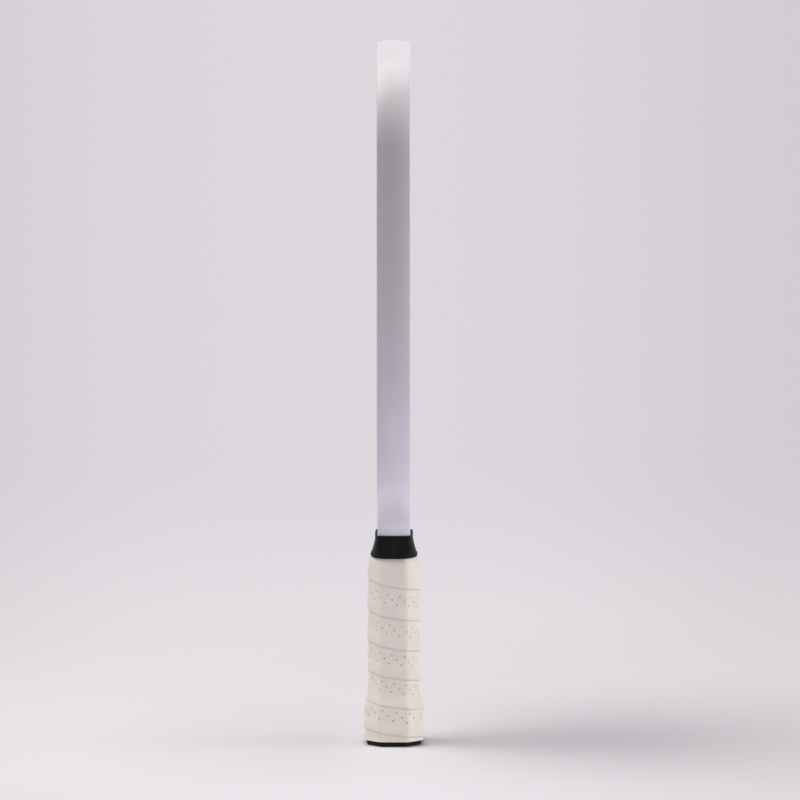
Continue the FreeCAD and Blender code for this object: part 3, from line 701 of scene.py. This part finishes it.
@dataclass
class EdgeGuard(SubAssembly):
    """The white U-shaped moulding round the blade, swept along the blade's outline."""

    round_width: float = 0.65 * MM
    round_depth: float = 0.45 * MM
    round_steps: int = 6
    lip_depth: float = 7.0 * MM
    lip_taper: float = 0.35 * MM
    lip_round: float = 0.45 * MM
    lip_steps: int = 4
    web: float = 1.6 * MM
    slot_half: float = 8.15 * MM
    crown: Rows = millimetres((0.0, 1.8), (0.50, 6.0))
    crown_edge: float = 1.6 * MM
    crown_reach: float = 1.7 * MM
    top_slope: float = 5.0
    top_radius: float = 400 * MM
    corner_radius: float = 60 * MM
    waist_length: float = 46 * MM
    waist_angle: float = 30.0
    waist_radius: float = 130 * MM
    shoulder_angle: float = 65.0
    shoulder_radius: float = 30 * MM
    neck_half: float = 19 * MM
    neck_height: float = 133 * MM
    neck_radius: float = 12 * MM
    degrees_per_step: float = 3.0
    fewest_steps: int = 2

    def corner_points(self) -> list[tuple[Vector, float]]:
        """Sharp corners of the right-hand outline from the neck's lower end to the tip, with their radii.

        Returns:
            Each corner as X and Z, with its radius.
        """
        low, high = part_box("edge_guard")
        slope, waist, shoulder = (math.radians(angle) for angle in
                                  (self.top_slope, self.waist_angle, self.shoulder_angle))
        apex = high.z + self.top_radius * (1 / math.cos(slope) - 1)
        bend_x = high.x - self.waist_length * math.sin(waist)
        bend_z = self.neck_height + (bend_x - self.neck_half) / math.tan(shoulder)
        return [(Vector((self.neck_half, low.z)), 0.0),
                (Vector((self.neck_half, self.neck_height)), self.neck_radius),
                (Vector((bend_x, bend_z)), self.shoulder_radius),
                (Vector((high.x, bend_z + self.waist_length * math.cos(waist))), self.waist_radius),
                (Vector((high.x, apex - high.x * math.tan(slope))), self.corner_radius),
                (Vector((0.0, apex)), self.top_radius)]

    def profile(self, bm: BMesh) -> list[BMEdge]:
        """The guard's closed section at the neck's lower end.

        It is bevelled while stretched, so that the rounds come out wider than deep.

        Args:
            bm: The mesh that gets the section.

        Returns:
            The section's edges.
        """
        low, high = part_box("edge_guard")
        half, outer = high.y, self.neck_half
        stretch = self.round_width / self.round_depth
        upper = [*self.crown, (self.crown_edge, half), (self.lip_depth, half - self.lip_taper),
                 (self.lip_depth, self.slot_half), (self.web, self.slot_half)]
        spots = upper + [(depth, -y) for depth, y in reversed(upper)]
        verts = [bm.verts.new((outer - depth * stretch, y, low.z)) for depth, y in spots]
        bm.faces.new(verts)
        pairs = [[verts[index], verts[-1 - index]] for index in range(len(upper) - 1)]
        crown, corners, lips = pairs[0] + pairs[1], pairs[2], pairs[3] + pairs[4]
        for chosen, offset, steps in ((lips, self.lip_round, self.lip_steps),
                                      (corners, self.round_width, self.round_steps),
                                      (crown, self.crown_reach, self.round_steps)):
            bmesh.ops.bevel(bm, geom=chosen, offset=offset, offset_type="OFFSET", segments=steps,
                            profile=ROUND_PROFILE, affect="VERTICES", material=KEEP_MATERIAL)
        crest = max(vert.co.x for vert in bm.verts)
        bmesh.ops.translate(bm, verts=bm.verts, vec=(outer - crest, 0, 0))
        bmesh.ops.scale(bm, verts=bm.verts, vec=(1 / stretch, 1, 1), space=Matrix.Translation((-outer, 0, 0)))
        bmesh.ops.delete(bm, geom=list(bm.faces), context="FACES_ONLY")
        return list(bm.edges)

    def sweep(self, bm: BMesh, edges: list[BMEdge]) -> None:
        """Extrudes the section along the outline's straight runs and spins it round its arcs.

        Args:
            bm: The mesh that holds the section.
            edges: The section's edges.
        """
        points = self.corner_points()
        cut = 0.0
        for index in range(1, len(points)):
            (before, _), (here, radius) = points[index - 1], points[index]
            # Past the tip the outline goes on as its mirror image, and the tip's arc stops half-way
            tip = index + 1 == len(points)
            after = Vector((-before.x, before.y)) if tip else points[index + 1][0]
            share = 0.5 if tip else 1.0
            first, second = (here - before).normalized(), (after - here).normalized()
            turn = first.angle_signed(second)
            tangent = radius * math.tan(abs(turn) / 2)
            run = (here - before).length - cut - tangent
            made = bmesh.ops.extrude_edge_only(bm, edges=edges)
            bmesh.ops.translate(bm, verts=made_of(BMVert, made), vec=Vector((first.x, 0, first.y)) * run)
            centre = here - first * tangent + Vector((first.y, -first.x)) * math.copysign(radius, turn)
            steps = max(self.fewest_steps, math.ceil(math.degrees(abs(turn)) * share / self.degrees_per_step))
            made = bmesh.ops.spin(bm, geom=made_of(BMVert, made) + made_of(BMEdge, made),
                                  cent=(centre.x, 0, centre.y), axis=(0, 1, 0), dvec=(0, 0, 0),
                                  angle=turn * share, steps=steps, use_merge=False, use_duplicate=False)
            edges = made_of(BMEdge, made, "geom_last")
            cut = tangent

    def build(self) -> list[Object]:
        """Makes and dresses the guard: one half swept, then mirrored and closed at its ends.

        Returns:
            The guard.
        """
        bm = bmesh.new()
        self.sweep(bm, self.profile(bm))
        for vert in bm.verts:
            if abs(vert.co.x) < JOIN:
                vert.co.x = 0.0
        bmesh.ops.mirror(bm, geom=bm.verts[:] + bm.edges[:] + bm.faces[:], axis="X", merge_dist=JOIN)
        bmesh.ops.remove_doubles(bm, verts=bm.verts, dist=MERGE)
        bmesh.ops.holes_fill(bm, edges=[edge for edge in bm.edges if edge.is_boundary], sides=0)
        return [self.dress(finished(bm, "edge_guard_moulding"), "guard_white", "edge_guard", GUARD)]


# ---------------------------------------------------------------- handle wrap

@dataclass
class Grip(SubAssembly):
    """The wrapped grip: a cushion sleeve and a punched tape wound over it, each turn lapped on the last."""

    handle: Octagon = Octagon(15.25 * MM, 13.4 * MM, 5.9 * MM)
    taper: Octagon = Octagon(16.2 * MM, 9.9 * MM, 3.2 * MM)
    taper_span: Span = (102 * MM, 118 * MM)
    straight_height: float = 51 * MM
    cap_wall: float = 2.3 * MM
    flare_span: Span = (22 * MM, 31 * MM)
    cushion: float = 1.25 * MM
    cushion_heights: tuple[float, ...] = (23 * MM, 27 * MM, 31 * MM, 102 * MM, 109 * MM)
    top_padding: float = 0.65 * MM
    padding_start: Span = (102 * MM, 107 * MM)
    padding_end: Span = (110.5 * MM, 114.6 * MM)
    corner_cut: float = 0.65 * MM
    glue: float = 0.05 * MM
    corner_round: float = 4.8 * MM
    tape: float = 0.5 * MM
    tape_width: float = 24.5 * MM
    lap_lift: float = 0.5 * MM
    lap_reach: Span = (5.4 * MM, 8.2 * MM)
    hollow: float = 0.2 * MM
    hollow_reach: Span = (6.0 * MM, 17.0 * MM)
    seam_low: float = 6.7 * MM
    climb: float = 16.4 * MM
    climb_growth: float = 0.25 * MM
    last_climb: float = 3.2 * MM
    last_climb_turn: float = 5.0
    seam_bow: float = 1.7 * MM
    first_turn: float = -1.5
    last_turn: float = 6.05
    edge_droop: float = 0.34 * MM
    edge_curl: float = 0.9 * MM
    wrinkle: float = 0.07 * MM
    wrinkle_edge: float = 2 * MM
    # Two slants of wrinkles: lengths along and across the tape, start, and length and start of their swell
    wrinkles: tuple[tuple[float, ...], ...] = ((5.3 * MM, 3.1 * MM, 0.0, 17 * MM, 1.3),
                                               (9.1 * MM, -2.3 * MM, 0.7, 23 * MM, 0.0))
    plain_rows: tuple[float, ...] = tuple(row * MM for row in (
        0.0, 0.12, 0.4, 1.2, 2.8, 4.2, 5.4, 6.8, 16.2, 17.6, 19.5))
    hole_rows: tuple[float, ...] = (9.0 * MM, 11.6 * MM, 14.2 * MM)
    hole_spacing: float = 7.5 * MM
    hole_turns: Span = (-0.5, 4.6)
    hole_radius: float = 0.5 * MM
    hole_depth: float = 0.34 * MM
    hole_margin: float = 0.0375 * MM
    # A hole's walls from its edge down: how far in and how deep, as shares of its radius and its depth
    hole_walls: Rows = ((0.12, 0.25), (0.05, 1.0))
    columns_per_hole: int = 8

    def surface(self, height: float) -> Octagon:
        """Section of the tape's outside, one layer thick, at a height.

        Args:
            height: Height above the paddle's bottom.

        Returns:
            The section, stood out over the cap's wall and drawn in where the padding ends.
        """
        bare = self.handle.between(self.taper, part_way(*self.taper_span, height))
        flare = self.cap_wall * (1 - smooth(*self.flare_span, height))
        padding = self.cushion + self.top_padding * smooth(*self.padding_start, height)
        padding *= 1 - smooth(*self.padding_end, height)
        return bare.grown(flare + padding + self.glue + self.tape, self.corner_cut)

    def sides(self) -> list[float]:
        """Lengths of the section's sides on the straight part of the handle."""
        return self.surface(self.straight_height).lengths()

    def seam(self, turn: float) -> float:
        """Height of the tape's lower edge after a number of turns from the middle of the +X flat.

        Args:
            turn: The number of turns, below zero before that flat.

        Returns:
            The height: a steady climb that grows a little, bowed on each flat and steeper in the last turn.
        """
        tucked = self.last_climb * max(0.0, turn - self.last_climb_turn) ** 2
        bow = self.seam_bow * (1 - math.cos(math.tau * turn))
        return self.seam_low + self.climb * turn + self.climb_growth * turn * abs(turn) + tucked + bow

    def column(self) -> float:
        """Width of a column of the mesh along the tape."""
        return self.hole_spacing / self.columns_per_hole

    def rows(self) -> list[float]:
        """Places of the mesh's rows across the tape, with a square row for each row of holes.

        Returns:
            Distances from the tape's lower edge.
        """
        half = self.column() / 2
        holes = [row + side * half for row in self.hole_rows for side in (-1, 1)]
        between = [(a + b) / 2 for a, b in zip(self.hole_rows, self.hole_rows[1:])]
        return sorted([*self.plain_rows, *holes, *between, self.tape_width])

    def lift(self, along: float, across: float) -> float:
        """How far the tape stands off the surface: up over the turn below it, then down into the cushion.

        Args:
            along: Distance along the tape.
            across: Distance from its lower edge, which droops a little.

        Returns:
            The distance off the surface, with the slight wrinkles of a hand-wound tape.
        """
        lap = self.lap_lift * (1 - smooth(*self.lap_reach, across))
        droop = self.edge_droop * (1 - smooth(0.0, self.edge_curl, across))
        sunk = self.hollow * math.sin(math.pi * part_way(*self.hollow_reach, across)) ** 2
        waves = sum(math.sin(along / run + across / rise + start) * math.sin(along / swell + swell_start)
                    for run, rise, start, swell, swell_start in self.wrinkles) / len(self.wrinkles)
        return lap - droop - sunk + self.wrinkle * waves * smooth(0.0, self.wrinkle_edge, across)

    def point(self, along: float, across: float, out: float) -> Vector:
        """Takes a point of the flat tape to its place on the wound handle.

        Args:
            along: Distance along the tape from the middle of the +X flat.
            across: Distance from the tape's lower edge.
            out: Distance off the tape's outer face.

        Returns:
            The place, in metres.
        """
        sides = self.sides()
        turn = along / sum(sides)
        height = self.seam(turn) + across
        section = self.surface(height).grown(self.lift(along, across) + out)
        rest = (turn % 1.0) * sum(sides) + sides[0] / 2
        index = 0
        while rest > sides[index % SIDES]:
            rest -= sides[index % SIDES]
            index += 1
        side, half_arc = sides[index % SIDES], self.corner_round * math.tan(EIGHTH / 2)
        if rest < half_arc:
            spot = section.arc(index, self.corner_round, (1 + rest / half_arc) / 2)
        elif rest > side - half_arc:
            spot = section.arc(index + 1, self.corner_round, (rest - side + half_arc) / half_arc / 2)
        else:
            start = section.arc(index, self.corner_round, 1.0)
            end = section.arc(index + 1, self.corner_round, 0.0)
            spot = start.lerp(end, (rest - half_arc) / (side - 2 * half_arc))
        return Vector((spot.x, spot.y, height))

    def punched(self, bm: BMesh) -> list[BMFace]:
        """The square faces of the flat tape where its staggered holes go.

        Args:
            bm: The mesh with the flat tape.

        Returns:
            The faces.
        """
        first, last = (turn * sum(self.sides()) for turn in self.hole_turns)
        chosen = []
        for face in bm.faces:
            middle = face.calc_center_median()
            for index, row in enumerate(self.hole_rows):
                column = math.floor(middle.x / self.column()) + index % 2 * self.columns_per_hole // 2 + index
                in_row = abs(middle.y - row) < MERGE and first < middle.x < last
                if in_row and column % self.columns_per_hole == 0:
                    chosen.append(face)
        return chosen

    def flat_tape(self, bm: BMesh) -> list[BMFace]:
        """The tape laid flat: X along it, Y across it, Z out of its face, with its punched holes.

        Args:
            bm: The mesh that gets the tape.

        Returns:
            The faces at the bottom of the holes.
        """
        rows, step = self.rows(), self.column()
        first, last = (round(turn * sum(self.sides()) / step) for turn in (self.first_turn, self.last_turn))
        half = 0.5
        bmesh.ops.create_grid(bm, x_segments=last - first, y_segments=len(rows) - 1, size=half)
        for vert in bm.verts:
            row = round((vert.co.y + half) * (len(rows) - 1))
            vert.co = ((first + (vert.co.x + half) * (last - first)) * step, rows[row], 0.0)
        chosen = self.punched(bm)
        bmesh.ops.inset_individual(bm, faces=chosen, thickness=self.hole_margin, depth=0.0)
        rims = list(dict.fromkeys(edge for face in chosen for edge in face.edges))
        bmesh.ops.subdivide_edges(bm, edges=rims, cuts=1)
        for face in chosen:
            middle = face.calc_center_median()
            for vert in face.verts:
                vert.co = middle + (vert.co - middle).normalized() * self.hole_radius
        for inward, down in self.hole_walls:
            bmesh.ops.inset_individual(bm, faces=chosen, thickness=self.hole_radius * inward,
                                       depth=-self.hole_depth * down)
        return chosen

    def build_tape(self) -> Object:
        """Winds the tape, trims it level at both ends and gives it its thickness.

        Returns:
            The tape, with its second finish in the bottoms of the holes.
        """
        bm = bmesh.new()
        for face in self.flat_tape(bm):
            # the bottoms of the holes get the painted shade
            face.material_index = 1
        flat = bm.loops.layers.uv.new(TAPE_MAP)
        for face in bm.faces:
            for loop in face.loops:
                loop[flat].uv = loop.vert.co.xy
        for vert in bm.verts:
            vert.co = self.point(*vert.co)
        bmesh.ops.reverse_faces(bm, faces=bm.faces)
        low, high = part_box("overgrip")
        for height, side in ((low.z, "clear_inner"), (high.z, "clear_outer")):
            bmesh.ops.bisect_plane(bm, geom=bm.verts[:] + bm.edges[:] + bm.faces[:], plane_co=(0, 0, height),
                                   plane_no=(0, 0, 1), **{side: True})
        piece = finished(bm, "overgrip_tape", sharp_angle=60.0, recalculate=False)
        wall = piece.modifiers.new("tape_thickness", "SOLIDIFY")
        wall.thickness = self.tape - self.glue
        wall.offset = -1.0
        wall.material_offset_rim = 0
        return piece

    def build_cushion(self) -> Object:
        """The foam sleeve between the handle and the tape, open at both ends.

        Returns:
            The sleeve.
        """
        heights = [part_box("base_grip")[0].z, *self.cushion_heights]
        walls = ((heights, -self.tape - 2 * self.glue - self.hollow, self.corner_round - self.tape),
                 (heights[::-1], -self.tape - self.cushion, self.corner_round / 2))
        bm = bmesh.new()
        Sleeve([(height, self.surface(height).grown(growth).ring(radius))
                for order, growth, radius in walls for height in order]).build(bm, closed=True)
        return finished(bm, "cushion_sleeve", sharp_angle=50.0)

    def build(self) -> list[Object]:
        """Makes and dresses the wrap.

        Returns:
            The cushion and the tape.
        """
        cushion = self.dress(self.build_cushion(), "cushion_black", "base_grip", FOAM)
        tape = self.dress(self.build_tape(), "overgrip_white", "overgrip", TAPE, PUNCHED)
        length = (self.last_turn - self.first_turn) * sum(self.sides())
        return [cushion, tape]


# ---------------------------------------------------------------- collar

@dataclass
class Collar(SubAssembly):
    """The rubber collar, stretched over the guard's ends and the grip's top and flared to a rolled lip."""

    top: Oval = Oval(20.05 * MM, 11.0 * MM, 6.0)
    foot: Oval = Oval(20.2 * MM, 13.4 * MM, 2.8)
    lip: Oval = Oval(20.4 * MM, 14.0 * MM, 2.7)
    wall: float = 1.0 * MM
    # The bead round the top edge: depth below it and growth of the top section
    bead: Rows = millimetres((0.0, -0.3), (0.15, 0.078), (0.45, 0.26), (1.3, 0.26), (1.45, 0.104))
    bead_height: float = 1.6 * MM
    # The rolled lip: height above the collar's bottom and growth of the lip's section
    roll: Rows = millimetres((1.7, -0.22), (1.4, -0.06), (1.0, 0.0), (0.64, -0.03), (0.3, -0.16),
                             (0.08, -0.36), (0.0, -0.6))
    lip_height: float = 2.0 * MM
    flare_power: float = 1.6
    square_share: float = 0.4
    rings: int = 14
    ring_points: int = 96

    def outside(self, share: float) -> Oval:
        """Section of the outside at a share of the height from the top.

        Args:
            share: 0 under the bead, 1 at the lip.

        Returns:
            The section, which flares slowly at first.
        """
        flare = share ** self.flare_power
        squareness = mix(self.top.squareness, self.foot.squareness, smooth(self.square_share, 1.0, share))
        return Oval(mix(self.top.half_x, self.foot.half_x, flare),
                    mix(self.top.half_y, self.foot.half_y, flare), squareness)

    def build(self) -> list[Object]:
        """Makes and dresses the collar: down the outside, round the lip, and up the inside.

        Returns:
            The collar.
        """
        low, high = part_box("throat_collar")
        upper, lower = high.z - self.bead_height, low.z + self.lip_height
        path = [(high.z - depth, self.top.grown(growth)) for depth, growth in self.bead]
        for ring in range(self.rings + 1):
            share = ring / self.rings
            path.append((mix(upper, lower, share), self.outside(share)))
        path += [(low.z + rise, self.lip.grown(growth)) for rise, growth in self.roll]
        inside = ((low.z, self.lip), (lower, self.foot), ((lower + upper) / 2, self.outside(1 / 2)),
                  (high.z, self.top))
        path += [(height, section.grown(-self.wall)) for height, section in inside]
        bm = bmesh.new()
        Sleeve([(height, section.ring(self.ring_points)) for height, section in path]).build(bm, closed=True)
        collar = finished(bm, "throat_collar_rubber", sharp_angle=55.0)
        return [self.dress(collar, "collar_rubber", "throat_collar", RUBBER)]


# ---------------------------------------------------------------- butt cap

@dataclass
class ButtCap(SubAssembly):
    """The black cap on the handle's end, with its plain domed badge."""

    handle: Octagon
    foot: float = 2.8 * MM
    corner_cut: float = 1.1 * MM
    # The foot's outside: height above the bottom and growth of the foot's section
    foot_rows: Rows = millimetres((0.0, -0.8), (0.28, -0.44), (1.6, -0.032), (2.25, 0.0), (2.79, -0.05),
                                  (3.0, -0.25))
    wall: float = 2.3 * MM
    chamfer: float = 0.8 * MM
    corner_round: float = 2.6 * MM
    inner_round: float = 1.0 * MM
    recess_depth: float = 0.9 * MM
    fit_gap: float = 0.05 * MM
    # The badge's dome: share of the way to its ring, and height above its lowest point
    badge_dome: Rows = ((0.0, 0.12 * MM), (0.5, 0.144 * MM), (0.85, 0.24 * MM), (1.0, 0.264 * MM))
    badge_ring: float = 0.5 * MM
    badge_groove: Span = (0.1 * MM, 0.036 * MM)
    badge_edge: float = 0.12 * MM
    segments: int = 96

    def build_cap(self) -> Object:
        """Makes the cap: foot, flange, socket wall, and the round recess in its bottom.

        Returns:
            The cap.
        """
        low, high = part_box("butt_cap")
        floor = low.z + self.foot_rows[-1][0]
        outer, inner = self.handle.grown(self.foot, self.corner_cut), self.handle.grown(self.fit_gap)
        socket = self.handle.grown(self.wall - self.fit_gap)
        walls = [(low.z + rise, outer.grown(growth), self.corner_round) for rise, growth in self.foot_rows]
        walls += [(floor, socket, self.corner_round), (high.z - self.chamfer, socket, self.corner_round),
                  (high.z, socket.grown(-self.chamfer), self.corner_round),
                  (high.z, inner, self.inner_round), (floor, inner, self.inner_round)]
        bm = bmesh.new()
        Sleeve([(height, section.ring(radius)) for height, section, radius in walls]).build(bm, closed=False)
        self._recess(bm)
        return finished(bm, "butt_cap_moulding", sharp_angle=32.0)

    def _recess(self, bm: BMesh) -> None:
        """Opens the round recess in the bottom face.

        Args:
            bm: The cap's mesh, closed by one face below.
        """
        bottom = min(bm.faces, key=lambda face: face.calc_center_median().z)
        outline, floor = list(bottom.edges), bottom.calc_center_median().z
        bmesh.ops.delete(bm, geom=[bottom], context="FACES_ONLY")
        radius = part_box("butt_badge")[1].x + self.fit_gap
        made = bmesh.ops.create_circle(bm, cap_ends=False, segments=self.segments, radius=radius,
                                       matrix=Matrix.Translation((0, 0, floor)))
        opening = list(dict.fromkeys(edge for vert in made["verts"] for edge in vert.link_edges))
        bmesh.ops.bridge_loops(bm, edges=outline + opening)
        raised = bmesh.ops.extrude_edge_only(bm, edges=opening)
        bmesh.ops.translate(bm, verts=made_of(BMVert, raised), vec=(0, 0, self.recess_depth))
        rim = [edge for edge in made_of(BMEdge, raised) if edge.is_boundary]
        bmesh.ops.holes_fill(bm, edges=rim, sides=0)

    def build_badge(self) -> Object:
        """A round resin badge: a spun profile with a raised ring and a slight dome, and no mark on it.

        Returns:
            The badge.
        """
        low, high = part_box("butt_badge")
        radius, ring = high.x, high.x - self.badge_ring
        groove_width, groove_height = self.badge_groove
        spots = [(ring * share, low.z + rise) for share, rise in self.badge_dome]
        spots += [(ring + groove_width, low.z + groove_height), (radius - self.badge_edge, low.z),
                  (radius, low.z + self.badge_edge), (radius, high.z), (0.0, high.z)]
        bm = bmesh.new()
        verts = [bm.verts.new((x, 0, z)) for x, z in spots]
        edges = [bm.edges.new(pair) for pair in zip(verts, verts[1:])]
        bmesh.ops.spin(bm, geom=verts + edges, cent=(0, 0, 0), axis=(0, 0, 1), dvec=(0, 0, 0),
                       angle=math.tau, steps=self.segments, use_merge=True, use_duplicate=False)
        bmesh.ops.remove_doubles(bm, verts=bm.verts, dist=MERGE)
        return finished(bm, "butt_badge_disc", sharp_angle=35.0)

    def build(self) -> list[Object]:
        """Makes and dresses the cap and its badge."""
        return [self.dress(self.build_cap(), "cap_black", "butt_cap", CAP_PLASTIC),
                self.dress(self.build_badge(), "badge_black", "butt_badge", BADGE)]


# ---------------------------------------------------------------- construction kept from CAD

@dataclass
class Construction:
    """The pieces whose CAD shape stays, each with a finish of its own."""

    finishes: dict[str, Finish] = field(default_factory=lambda: {
        "front_face_sheet": COMPOSITE, "rear_face_sheet": COMPOSITE, "honeycomb_core": CORE,
        "front_bond_film": FILM, "rear_bond_film": FILM, "edge_guard_tape": CLEAR_TAPE,
        "front_handle_half": HANDLE, "rear_handle_half": HANDLE, "butt_cap_tacks": STEEL,
        "grip_staple": STEEL, "finishing_tape": VINYL})

    def build(self) -> list[Object]:
        """Puts each node's finish in place of its plain one.

        Returns:
            The nodes' objects.
        """
        made = {finish: finish.material() for finish in dict.fromkeys(self.finishes.values())}
        nodes = [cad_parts[name] for name in self.finishes]
        for node, finish in zip(nodes, self.finishes.values()):
            node.data.materials.clear()
            node.data.materials.append(made[finish])
        return nodes


# ---------------------------------------------------------------- studio

@dataclass(frozen=True)
class Lamp:
    """A soft box: where it stands, what it points at, its size, power and tint."""

    name: str
    place: Point
    target: Point
    size: Span
    power: float
    tint: Colour = (1.0, 1.0, 1.0)
    spread: float = 180.0

    def build(self) -> Object:
        """Adds the lamp to the scene.

        Returns:
            The lamp, which the camera doesn't see.
        """
        light = bpy.data.lights.new(self.name, "AREA")
        light.shape = "RECTANGLE"
        light.size, light.size_y = self.size
        light.energy, light.color, light.spread = self.power, self.tint, math.radians(self.spread)
        lamp = linked(self.name, light)
        aim(lamp, Vector(self.place), Vector(self.target))
        lamp.visible_camera = False
        return lamp


@dataclass
class Studio:
    """Pale floor, pale surroundings, soft lamps and the camera."""

    floor_radius: float = 3.0
    floor_segments: int = 64
    floor_fade: Span = (0.12, 0.62)
    floor_colour: Colour = (0.870, 0.832, 0.900)
    floor_gap: float = 2 * MM
    paper_grain: float = 900.0
    paper_mottle: float = 2.2
    paper_shade: float = 0.985
    sky_colour: Colour = (0.715, 0.680, 0.720)
    sky_low_colour: Colour = (0.800, 0.765, 0.795)
    sky_rise: Span = (-0.15, -0.105)
    sky_middle: float = -0.014
    # painted shade: how much the surroundings darken towards their sides
    sky_side_fall: float = 0.10
    sky_side_reach: float = 0.09
    sky_side_power: float = 2.0
    ambient: float = 0.19
    camera_distance: float = 3.1
    camera_height: float = 0.50
    camera_azimuth: float = 90.1
    camera_side: float = 3.55 * MM
    aim_height: float = 0.2054
    lens: float = 236.0
    lamps: tuple[Lamp, ...] = (
        Lamp("overhead_box", (0, 0, 2.7), (0, 0, 0), (2.0, 2.0), 28.2, (1.0, 1.0, 0.94)),
        Lamp("left_key", (0.15, -1.45, 2.2), (0, 0, 0.1), (2.0, 1.6), 35.0, (1.0, 1.0, 0.94)),
        Lamp("left_fill", (0.3, -2.4, 0.5), (0, 0, 0.2), (2.6, 0.85), 4.5),
        Lamp("right_fill", (0.2, 2.4, 0.34), (0, 0, 0.25), (2.6, 0.6), 27.5),
        Lamp("blade_fill", (0.1, 1.1, 0.6), (0.1, 0, 0.36), (0.5, 0.4), 0.25, spread=40.0),
        Lamp("low_front_fill", (0.42, -0.02, 0.10), (0, 0, 0.06), (0.25, 0.10), 0.0275, spread=90.0),
        Lamp("neck_fill", (0.35, 0, 0.012), (0.03, 0, 0.16), (0.20, 0.02), 0.026, (0.98, 0.96, 1.30), 70.0),
        Lamp("low_right_fill", (0.30, 0.55, 0.03), (0.04, 0, 0.16), (0.30, 0.05), 0.0107, spread=60.0))

    def build_floor(self) -> Object:
        """A round floor that fades into the surroundings, clear from below and close to what stands on it.

        Returns:
            The floor.
        """
        bm = bmesh.new()
        bmesh.ops.create_circle(bm, cap_ends=True, segments=self.floor_segments, radius=self.floor_radius)
        floor = finished(bm, "floor")
        made = bpy.data.materials.new("floor_paper")
        tree = Tree.blank(made)
        place = tree.add("ShaderNodeTexCoord").outputs["Object"]
        grain = GRAIN.use(tree, Vector=place, Grain_Scale=self.paper_grain, Mottle_Scale=self.paper_mottle)
        colour = tree.blend(tree.ramp(grain["Mottle"], *SHADE_SPAN), self.floor_colour,
                            [self.paper_shade * part for part in self.floor_colour])
        paper = tree.add("ShaderNodeBsdfDiffuse", Color=colour)
        clear = tree.add("ShaderNodeBsdfTransparent")
        far = tree.add("ShaderNodeVectorMath", {"operation": "LENGTH"}, i0=place).outputs["Value"]
        below = tree.add("ShaderNodeNewGeometry").outputs["Backfacing"]
        ray = tree.add("ShaderNodeLightPath").outputs["Ray Length"]
        touching = tree.math("LESS_THAN", ray, self.floor_gap)
        share = tree.math("MAXIMUM", tree.math("MAXIMUM", tree.ramp(far, *self.floor_fade), below), touching)
        surface = tree.add("ShaderNodeMixShader", i0=share, i1=paper.outputs[0], i2=clear.outputs[0])
        tree.add("ShaderNodeOutputMaterial", Surface=surface.outputs[0])
        floor.data.materials.append(made)
        return floor

    def build_sky(self) -> bpy.types.World:
        """Surroundings that look pale in camera and gloss, with painted shade towards their sides, and light
        the paddle dimly.

        Returns:
            The world.
        """
        world = bpy.data.worlds.new("surroundings")
        tree = Tree.blank(world)
        path = tree.add("ShaderNodeLightPath").outputs
        seen = tree.math("MAXIMUM", path["Is Camera Ray"], path["Is Transmission Ray"])
        seen = tree.math("MAXIMUM", seen, path["Is Glossy Ray"])
        ray = tree.add("ShaderNodeTexCoord").outputs["Generated"]
        way = tree.add("ShaderNodeSeparateXYZ", Vector=ray).outputs
        paper = tree.blend(tree.ramp(way["Z"], *self.sky_rise), self.sky_low_colour, self.sky_colour)
        # painted shade: the surroundings get darker towards their sides
        aside = tree.math("ABSOLUTE", tree.math("SUBTRACT", way["Y"], self.sky_middle))
        fall = tree.math("POWER", tree.ramp(aside, 0.0, self.sky_side_reach), self.sky_side_power)
        paper = tree.blend(tree.math("MULTIPLY", fall, self.sky_side_fall), paper, (0.0, 0.0, 0.0))
        colour = tree.blend(seen, [part * self.ambient for part in self.sky_colour], paper)
        sky = tree.add("ShaderNodeBackground", Color=colour, Strength=1.0)
        tree.add("ShaderNodeOutputWorld", Surface=sky.outputs[0])
        bpy.context.scene.world = world
        return world

    def build_camera(self) -> Object:
        """A long lens at the blade's edge, a little above the paddle's middle.

        Returns:
            The camera.
        """
        data = bpy.data.cameras.new("camera")
        data.lens = self.lens
        camera = linked("camera", data)
        turn = math.radians(self.camera_azimuth)
        target = Vector((math.cos(turn), math.sin(turn), 0)) * self.camera_side
        place = target + Vector((math.sin(turn), -math.cos(turn), 0)) * self.camera_distance
        place.z, target.z = self.camera_height, self.aim_height
        aim(camera, place, target)
        bpy.context.scene.camera = camera
        return camera

    def build(self) -> list[Object]:
        """Sets up the whole studio.

        Returns:
            The camera, the floor and the lamps.
        """
        self.build_sky()
        bpy.context.scene.view_settings.view_transform = "Standard"
        return [self.build_camera(), self.build_floor(), *(lamp.build() for lamp in self.lamps)]


def main() -> None:
    """Builds the studio and the paddle's pieces in order, and reports each."""
    logging.basicConfig(level=logging.INFO, format="%(name)s: %(message)s")
    grip = Grip()
    for maker in (Studio(), Construction(), EdgeGuard(), grip, Collar(), ButtCap(grip.handle)):
        for piece in maker.build():
            log.info("%s: %s ready", type(maker).__name__, piece.name)


if __name__ == "__main__":
    main()
